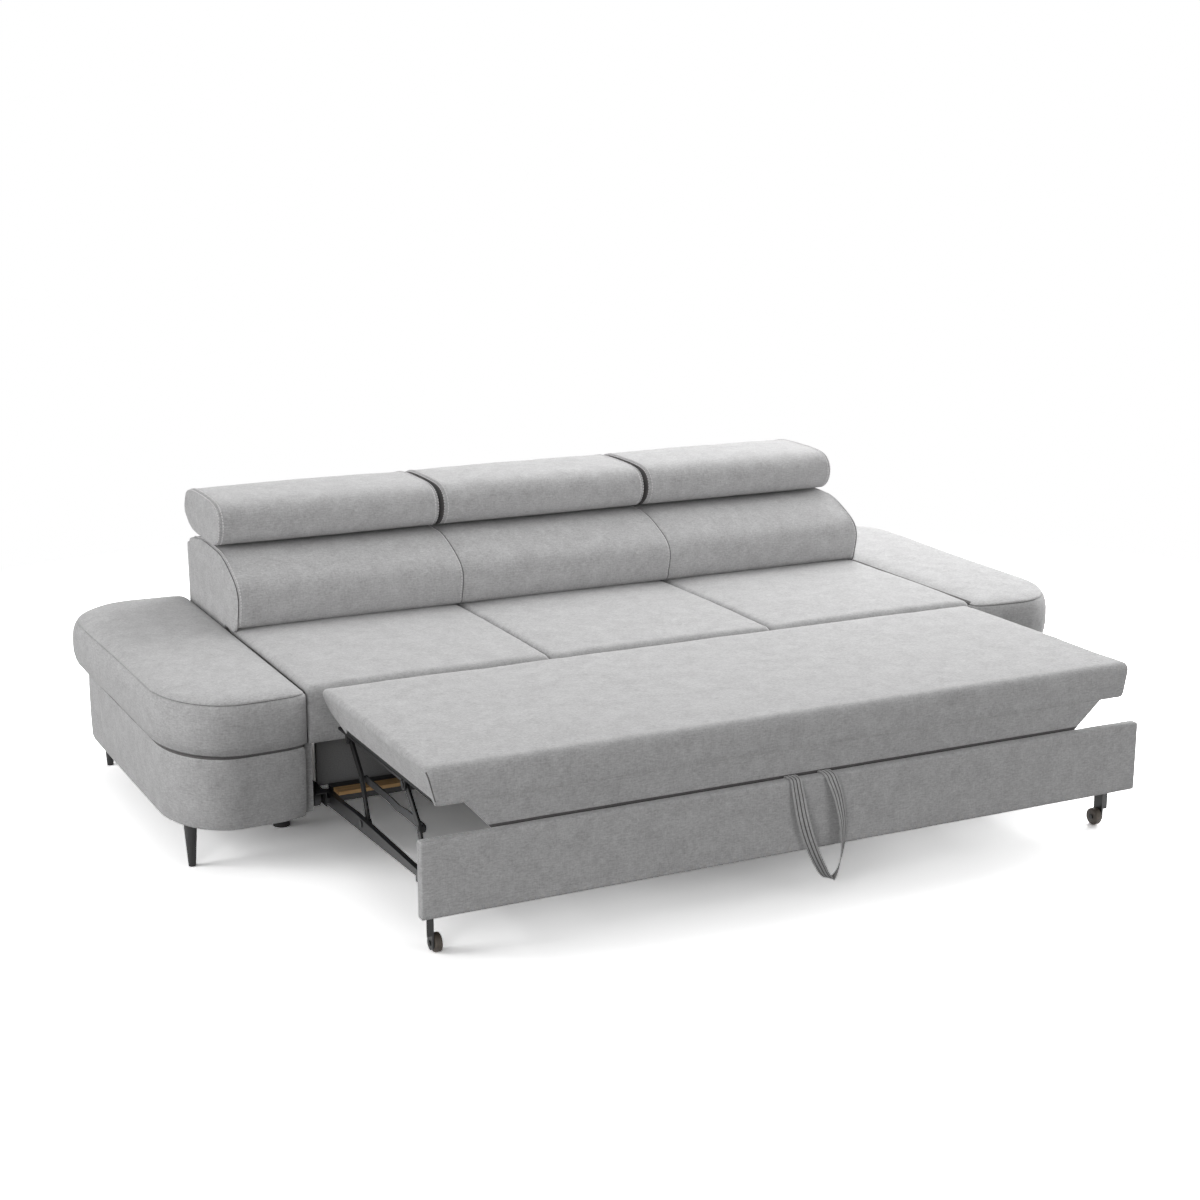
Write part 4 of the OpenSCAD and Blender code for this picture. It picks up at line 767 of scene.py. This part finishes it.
# Arms
arm = {"inner": 980.6, "outer": 1325, "front": 693, "rear": 1803, "bow": 23, "cornerIn": 10,
       "frontCorner": (175, 248), "rearCorner": (195, 170), "split": 297.6, "seam": 428,
       "bulge": 12, "crown": 14, "crownReach": 24, "shoulder": 1.9, "shoulderTall": 9,
       "rearOut": 6, "rearRise": 8, "swellFrom": 1150, "swellTo": 1600, "swellLow": 45,  # fuller at the rear
       "spineX": 1150, "spineY": (868, 1645), "spineFade": 80, "innerFade": 30,
       # inset and height of the rings: at the split, up the side as shares, at the top seam
       "foot": ((20, 0.2), (12, 0), (6, 1.5), (2, 5.5), (0, 11)),
       "side": ((0.5, 0.13), (0.78, 0.23), (0.96, 0.38), (1, 0.54), (0.92, 0.7), (0.66, 0.83), (0.28, 0.93)),
       "topSeam": ((0.2, -4.5), (1.6, -2.6), (4.6, -1.6), (5.2, -0.6), (2.6, 0.4), (2.8, 2.0), (5.0, 4.2)),
       "topShares": (0.02, 0.045, 0.08, 0.12, 0.17, 0.23, 0.3, 0.38, 0.47, 0.57, 0.68, 0.8, 0.9, 0.97),
       "softRings": (3, 11), "flatFrom": 17,
       # rings with painted shade, the darker cloth: under the bulge, in the seam's crease, and on the inner
       # face
       "shadedFoot": 3, "shadedCrease": 14, "shadedInner": {"left": 15, "right": 19}, "innerLimit": 0.3,
       "innerFrom": 50,
       "softness": 2.0, "rippleSize": 160, "spacing": 12, "shift": 9}


def armOutline(frontCorner, rearCorner):
    a = arm
    bowed = a["front"] + a["bow"]
    frontC = (a["outer"] - a["cornerIn"] - frontCorner[0], a["front"] + frontCorner[1])
    rearC = (a["outer"] - rearCorner[0], a["rear"] - rearCorner[1])
    path = [(a["inner"], bowed + 14), (a["inner"] + 1.2, bowed + 5), (a["inner"] + 7, bowed - 2),
            ((a["inner"] * 2 + frontC[0]) / 3, a["front"] + a["bow"] * 0.3)]
    path += arcPoints(*frontC, *frontCorner, -90, 0, 12) + arcPoints(*rearC, *rearCorner, 0, 90, 12)
    path += [(a["inner"] + 40, a["rear"] - 2), (a["inner"] + 9, a["rear"] - 7),
             (a["inner"] + 1.4, a["rear"] - 12), (a["inner"], a["rear"] - 22)]
    free = smoothPath(path, a["spacing"])
    return free, evenSteps([free[-1], free[0]], a["spacing"])[1:-1]


def buildArmCushion(side, sign):
    a = arm
    free, inner = armOutline(a["frontCorner"], a["rearCorner"])
    outline = free + inner
    n = len(outline)
    normals = [wayOut(outline, i, True) for i in range(n)]
    onInner = [clamp((p[0] - a["inner"] - 2) / a["innerFade"]) for p in outline]
    swell = []  # grows smoothly towards the rear
    for p in outline:
        t = clamp((p[1] - a["swellFrom"]) / (a["swellTo"] - a["swellFrom"]))
        swell.append(t * t * (3 - 2 * t))
    low, seam = a["split"], a["seam"]

    def level(inset, z, share, soft, rise=0.0):
        # one ring: inset from the outline, at the height z, moved a share of the way to the spine
        ring = []
        for i, p in enumerate(outline):
            move = -inset if inset > 0 else -inset * onInner[i]
            if inset > 0 and z > seam - a["shoulderTall"]:
                move *= 1 + (a["shoulder"] - 1) * (1 - onInner[i])
            reach = clamp((p[0] - a["spineX"]) / a["spineFade"]) * clamp((z - low) / a["swellLow"])
            move += a["rearOut"] * swell[i] * reach * (1 - share)
            wave = ripple(Vector((p[0] * sign, p[1], z)), a["rippleSize"], soft)
            q = p + normals[i] * (move + wave * onInner[i] * (1 - share))
            q = q.lerp(Vector((a["spineX"], max(a["spineY"][0], min(a["spineY"][1], q[1])))), share)
            lift = rise * swell[i] + (wave if share > 0.15 else 0)
            ring.append(rowPoint(max(q[0], a["inner"] + 0.2) * sign, q[1], z + lift))
        return ring

    levels = [(inset, low + up) for inset, up in a["foot"]]
    levels += [(-a["bulge"] * out, low + (seam - low) * up) for out, up in a["side"]]
    levels += [(inset, seam + up) for inset, up in a["topSeam"]]
    rings = []
    for i, (inset, z) in enumerate(levels):
        soft = a["softRings"][0] <= i <= a["softRings"][1]
        rings.append(level(inset, z, 0, a["softness"] if soft else 0))
    inset, up = a["topSeam"][-1]
    for share in a["topShares"]:
        risen = 1 - math.exp(-share * (a["spineX"] - a["inner"]) / a["crownReach"])
        rings.append(level(inset, seam + up + (a["crown"] - up) * risen, share, a["softness"] * 0.5,
                           a["rearRise"] * risen))
    m = len(rings)
    around = [0.0]
    for j in range(n):
        around.append(around[-1] + (outline[(j + 1) % n] - outline[j]).length * mm)
    faces, corners, paintedShadeFaces = [], [], []
    for i in range(m - 1):
        for j in range(n):
            k = (j + 1) % n
            quad = ((i, j), (i, k), (i + 1, k), (i + 1, j))
            # painted shade: darker cloth under the bulge, in the top seam's crease and along the inner rim
            onFace = onInner[j] + onInner[k] < a["innerLimit"] and outline[j][1] > a["front"] + a["innerFrom"]
            if i < a["shadedFoot"] or i == a["shadedCrease"] or (onFace and i < a["shadedInner"][side]):
                paintedShadeFaces.append(len(faces))
            faces.append([p * n + q for p, q in quad])
            if i >= a["flatFrom"]:
                corners.append([(rings[p][q].x + a["shift"], rings[p][q].y) for p, q in quad])
            else:
                corners.append([(around[j + 1 if s in (1, 2) else j], rings[p][q].z + sign)
                                for s, (p, q) in enumerate(quad)])
    for i in (0, m - 1):
        faces.append([i * n + j for j in range(n)])
        corners.append([(rings[i][j].x + a["shift"], rings[i][j].y) for j in range(n)])
    points = [p for ring in rings for p in ring]
    piece = makeMesh("armCushion" + side.capitalize(), points, faces, corners, chenille, "sofa", 40, paintedShadeFaces)
    tagCushion(["arm_cushion_" + side])


# the padded wall of the base has its own outline, whose rear corner is rounder
armBase = {"low": 115, "top": 297, "frontCorner": (162, 226), "rearCorner": (225, 240),
           # inset and height of the wall's points: at the foot, then in shares of the height, and the inside
           "foot": ((16, 1.5), (12, 0), (9.6, 1.5), (8.4, 6)),
           "side": ((7.6, 0.15), (6, 0.4), (6, 0.8), (7.4, 0.95), (9.5, 0.98), (12, 1), (27.5, 1),
                    (27.5, 0.5)),
           # shadedPoints: the wall's faces at its top rim, under the cushion's bulge, which get painted shade
           "inside": (27.5, 1.5), "softWall": (2, 9), "shadedPoints": (8, 9),
           "softness": 1.2, "rippleSize": 170, "shift": 4}


def buildArmBase(side, sign):
    v = armBase
    free, _ = armOutline(v["frontCorner"], v["rearCorner"])
    around = [0.0]
    for p, q in zip(free, free[1:]):
        around.append(around[-1] + (q - p).length * mm)
    tall = v["top"] - v["low"]
    wall = list(v["foot"]) + [(inset, tall * share) for inset, share in v["side"]] + [v["inside"]]
    rings = []
    for i, p in enumerate(free):
        out = wayOut(free, i)
        ring = []
        for inset, up in wall:
            wave = 0
            if v["softWall"][0] < inset < v["softWall"][1]:
                wave = ripple(Vector((p[0] * sign, p[1], up)), v["rippleSize"], v["softness"])
            q = p - out * (inset + wave)
            ring.append(rowPoint(max(q[0], arm["inner"]) * sign, q[1], v["low"] + up))
        rings.append(ring)
    n, m = len(wall), len(rings)
    upward = [v["shift"]]
    for j in range(n):
        upward.append(upward[-1] + (rings[0][(j + 1) % n] - rings[0][j]).length)
    faces, corners, paintedShadeFaces = [], [], []
    for i in range(m - 1):
        for j in range(n):
            k = (j + 1) % n
            # painted shade: the darker cloth on the top rim under the cushion
            if j in v["shadedPoints"]:
                paintedShadeFaces.append(len(faces))
            faces.append([i * n + j, i * n + k, (i + 1) * n + k, (i + 1) * n + j])
            corners.append([(around[i], upward[j]), (around[i], upward[j + 1]),
                            (around[i + 1], upward[j + 1]), (around[i + 1], upward[j])])
    for i in (0, m - 1):
        faces.append([i * n + j for j in range(n)])
        corners.append([(rings[i][j].y, rings[i][j].z) for j in range(n)])
    points = [p for ring in rings for p in ring]
    piece = makeMesh("armBase" + side.capitalize(), points, faces, corners, chenille, "sofa", 40, paintedShadeFaces)
    tagCushion(["arm_base_" + side])


for side, sign in (("right", 1), ("left", -1)):
    buildArmCushion(side, sign)
    buildArmBase(side, sign)
print("arms made")


# Pull strap, whose route is the one of the part's source
strap = {"wide": 30, "thick": 2, "rise": 289.4, "flatSteps": 12,
         "turn": 62, "turnFrom": 12, "turnLow": 50,  # degrees that it turns towards edge-on on its way down
         "route": [(-42, 29.6, 240), (-42, 29.6, 284.4), (-42, 27, 289.4), (-42, 4, 289.4), (-42, -2.5, 285),
                   (-41, -6, 270), (-38, -11, 245), (-33, -15, 212), (-25, -18, 177), (-13, -20, 140),
                   (2, -21, 104), (18, -22, 72), (33, -22, 48), (48, -22, 38), (62, -22, 48), (72, -22, 74),
                   (78, -22, 108), (80, -21, 142), (78, -19, 176), (73, -16, 209), (66, -12, 242),
                   (58, -7, 268), (52, -2.5, 285), (50, 4, 289.4), (50, 27, 289.4), (50, 29.6, 284.4),
                   (50, 29.6, 240)],
         "routeStep": 5, "groove": 0.3, "uvLong": 0.005, "uvWide": 0.004,
         # half of the webbing's section in shares of its width and thickness: four ribs and three grooves
         "ribs": ((-0.5, 0.5), (-0.42, 0.64), (-0.33, 0.56), (-0.29, 0.3), (-0.25, 0.56), (-0.14, 0.64),
                  (-0.05, 0.56), (0.0, 0.3), (0.05, 0.56), (0.14, 0.64), (0.25, 0.56), (0.29, 0.3),
                  (0.33, 0.56), (0.42, 0.64), (0.5, 0.5))}


def buildStrap():
    s = strap
    route = smoothPath(s["route"], s["routeStep"])
    n = len(route)
    section = [(-a, b) for a, b in s["ribs"]] + [(a, -b) for a, b in s["ribs"]]
    k = len(section)
    # painted shade: the faces in the webbing's grooves get the darker cloth
    grooves = [j for j in range(k - 1) if s["groove"] in (abs(section[j][1]), abs(section[j + 1][1]))]
    rings = []
    for i, p in enumerate(route):
        t = (route[min(i + 1, n - 1)] - route[max(i - 1, 0)]).normalized()
        share = 0  # the webbing lies flat over the panel's edge and turns edge-on further down
        if s["flatSteps"] < i < n - s["flatSteps"]:
            share = max(0, (s["rise"] - s["turnFrom"] - p[2]) / (s["rise"] - s["turnLow"]))
        turn = math.radians(s["turn"] * share)
        flat = Vector((math.cos(turn) if i < n / 2 else -math.cos(turn), -math.sin(turn), 0))
        across = (flat - t * flat.dot(t)).normalized()
        if i >= n / 2:
            across = -across
        up = t.cross(across).normalized()
        ring = []
        for a, b in section:
            q = p + across * s["wide"] * a + up * s["thick"] * b
            ring.append(rowPoint(q[0], q[1], q[2]))
        rings.append(ring)
    faces, corners, paintedShadeFaces = [], [], []
    for i in range(n - 1):
        for j in range(k):
            m = (j + 1) % k
            if j in grooves:
                paintedShadeFaces.append(len(faces))
            faces.append([i * k + j, i * k + m, (i + 1) * k + m, (i + 1) * k + j])
            u, v = i * s["uvLong"], j * s["uvWide"]
            nextU, nextV = u + s["uvLong"], v + s["uvWide"]
            corners.append([(u, v), (u, nextV), (nextU, nextV), (nextU, v)])
    for i in (0, n - 1):
        faces.append([i * k + j for j in range(k)])
        corners.append([(j * s["uvWide"] / 2, 0) for j in range(k)])
    points = [p for ring in rings for p in ring]
    piece = makeMesh("pullStrap", points, faces, corners, chenille, "drawer", 30, paintedShadeFaces)
    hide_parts("pull_strap")


buildStrap()


# Front panel and skirt
panel = {"half": 970, "thick": 28, "low": 108, "high": 288, "round": 7, "endRound": 4, "inset": 0.4,
         "ends": ((0.3, 0), (0.8, 0)), "spine": ((14, 122), (14, 274)), "softness": 0.5, "sectionStep": 5,
         "step": 12, "shift": 7.7}


def buildPanel():
    p = panel
    r = p["round"]
    path = []
    low, high, front, back = p["low"] + r, p["high"] - r, r, p["thick"] - r
    for cy, cz, start in ((front, low, 270), (front, high, 180), (back, high, 90), (back, low, 0)):
        path += arcPoints(cy, cz, r, r, start, start - 90, 5)
    path.append(path[0])
    profile = evenSteps([Vector(q) for q in path], p["sectionStep"])[:-1]
    x0, x1 = -p["half"], p["half"]
    stations = roundEnd(x0, p["endRound"], 4, 1) + list(reversed(roundEnd(x1, p["endRound"], 4, -1)))
    stations = fillStations([(x, depth + p["inset"], 0) for x, depth, _ in stations], p["step"])
    rings = sectionRings(profile, [1.0] * len(profile), stations, p)
    piece = loftCushion("frontPanel", rings, len(p["ends"]), p["shift"], "drawer")
    tagCushion(["front_panel"])


buildPanel()

skirt = {"top": 355.5, "low": 276, "wide": 862, "narrow": 788, "outY": (21.5, 34.5), "thick": 4,
         "rows": 16, "columns": 120, "waveSize": 90, "wave": 0.8, "shade": 292, "shift": (6.0, 2)}


def buildSkirt():
    s = skirt
    rows, columns = s["rows"], s["columns"]
    points, faces = [], []
    for back in (0, 1):
        for i in range(rows + 1):
            t = i / rows
            half = s["wide"] + (s["narrow"] - s["wide"]) * t
            z = s["top"] + (s["low"] - s["top"]) * t
            y = s["outY"][0] + (s["outY"][1] - s["outY"][0]) * t + s["thick"] * back
            for j in range(columns + 1):
                x = -half + 2 * half * j / columns
                wave = noise.noise(Vector((x / s["waveSize"], t * 2, 5))) * s["wave"] * t
                points.append(rowPoint(x, y + wave, z))
    row = columns + 1
    layer = (rows + 1) * row
    for back in (0, 1):
        for i in range(rows):
            for j in range(columns):
                a = back * layer + i * row + j
                faces.append([a, a + 1, a + row + 1, a + row])
    rim = list(range(row)) + [i * row + columns for i in range(1, rows + 1)]
    rim += [rows * row + j for j in range(columns - 1, -1, -1)] + [i * row for i in range(rows - 1, 0, -1)]
    for k, a in enumerate(rim):
        b = rim[(k + 1) % len(rim)]
        faces.append([a, b, b + layer, a + layer])
    corners = [[(points[i].x + s["shift"][0], points[i].z + s["shift"][1]) for i in face] for face in faces]
    # painted shade: the skirt's faces below the shade height, where it tucks behind the panel, get the darker
    # cloth
    paintedShadeFaces = [k for k, face in enumerate(faces) if sum(points[i].z for i in face) / 4 < s["shade"] * mm]
    piece = makeMesh("mattressSkirt", points, faces, corners, chenille, "mattress", 60, paintedShadeFaces)
    tagCushion(["mattress_skirt"])


buildSkirt()
print("panel, skirt and strap made")


# Floor and light
studio = {
    "world": 0.25, "paper": "#ffffff", "bounce": "#8c8c8c",
    # the camera sees the floor as white paper, on which the shadows stay, and plain white further off, m
    "floorGain": 2.8, "fadeFrom": 2.3, "fadeTo": 3.6, "floorSize": 40,
    "lamps": {
        "overhead": {"place": (0.7, 1.7, 3.6), "aim": (0.1, -0.1, 0.3), "size": 3.4, "power": 50},
        "topRight": {"place": (2.6, 1.3, 3.4), "aim": (0.4, -0.1, 0.4), "size": 3.0, "power": 30},
        "rearRight": {"place": (3.4, 3.6, 2.8), "aim": (0.2, 0.2, 0.5), "size": 2.6, "power": 99},
        "rightSide": {"place": (4.6, 0.6, 1.6), "aim": (1.0, 0.1, 0.4), "size": 2.0, "power": 86},
        "frontLowRight": {"place": (1.8, -3.8, 0.9), "aim": (0.2, -0.9, 0.2), "size": 1.6, "power": 14},
        "frontLeft": {"place": (-3.6, -4.2, 1.6), "aim": (-0.2, -0.6, 0.3), "size": 2.6, "power": 51},
        "sideLeft": {"place": (-5.0, 0.9, 1.6), "aim": (-0.6, 0.2, 0.4), "size": 2.4, "power": 76},
    },
}


def rayMix(tree, seen, unseen):
    # what the camera and mirror-like rays see, and what lights the object
    path = addNode(tree, "ShaderNodeLightPath")
    total = path.outputs["Is Camera Ray"]
    for name in ("Is Glossy Ray", "Is Transmission Ray"):
        most = addNode(tree, "ShaderNodeMath", {"operation": "MAXIMUM"}, {0: total, 1: path.outputs[name]})
        total = most.outputs[0]
    return addNode(tree, "ShaderNodeMixShader", None, {0: total, 1: unseen, 2: seen}).outputs[0]


paper = {"Color": linearColour(studio["paper"]), "Strength": 1.0}
world = bpy.data.worlds.new("studioWorld")
world.use_nodes = True
bpy.context.scene.world = world
tree = world.node_tree
tree.nodes.clear()
dim = addNode(tree, "ShaderNodeBackground", None, {**paper, "Strength": studio["world"]})
white = addNode(tree, "ShaderNodeBackground", None, paper)
addNode(tree, "ShaderNodeOutputWorld", None, {"Surface": rayMix(tree, white.outputs[0], dim.outputs[0])})

floorMaterial = bpy.data.materials.new("studioFloor")
floorMaterial.use_nodes = True
tree = floorMaterial.node_tree
tree.nodes.clear()
near = addNode(tree, "ShaderNodeBsdfDiffuse", None, {"Color": [studio["floorGain"]] * 3 + [1.0]})
farOff = addNode(tree, "ShaderNodeEmission", None, paper)
spot = addNode(tree, "ShaderNodeTexCoord").outputs["Object"]
reach = addNode(tree, "ShaderNodeVectorMath", {"operation": "LENGTH"}, {0: spot}).outputs["Value"]
fade = addNode(tree, "ShaderNodeMapRange", {"interpolation_type": "SMOOTHSTEP"},
               {"Value": reach, "From Min": studio["fadeFrom"], "From Max": studio["fadeTo"]}).outputs[0]
seen = addNode(tree, "ShaderNodeMixShader", None, {0: fade, 1: near.outputs[0], 2: farOff.outputs[0]})
bounce = addNode(tree, "ShaderNodeBsdfDiffuse", None, {"Color": linearColour(studio["bounce"])})
addNode(tree, "ShaderNodeOutputMaterial", None, {"Surface": rayMix(tree, seen.outputs[0], bounce.outputs[0])})
bpy.ops.object.select_all(action="DESELECT")
bpy.ops.mesh.primitive_plane_add(size=studio["floorSize"], location=(0, 0, 0))
floor = bpy.context.object
floor.name = "studioFloor"
floor.data.materials.append(floorMaterial)

for name, lamp in studio["lamps"].items():
    light = bpy.data.lights.new(name, "AREA")
    light.size = lamp["size"]
    light.energy = lamp["power"]
    lampObject = bpy.data.objects.new(name, light)
    lampObject.location = lamp["place"]
    aim = Vector(lamp["aim"]) - Vector(lamp["place"])
    lampObject.rotation_euler = aim.to_track_quat("-Z", "Y").to_euler()
    bpy.context.scene.collection.objects.link(lampObject)
print("floor and light made")
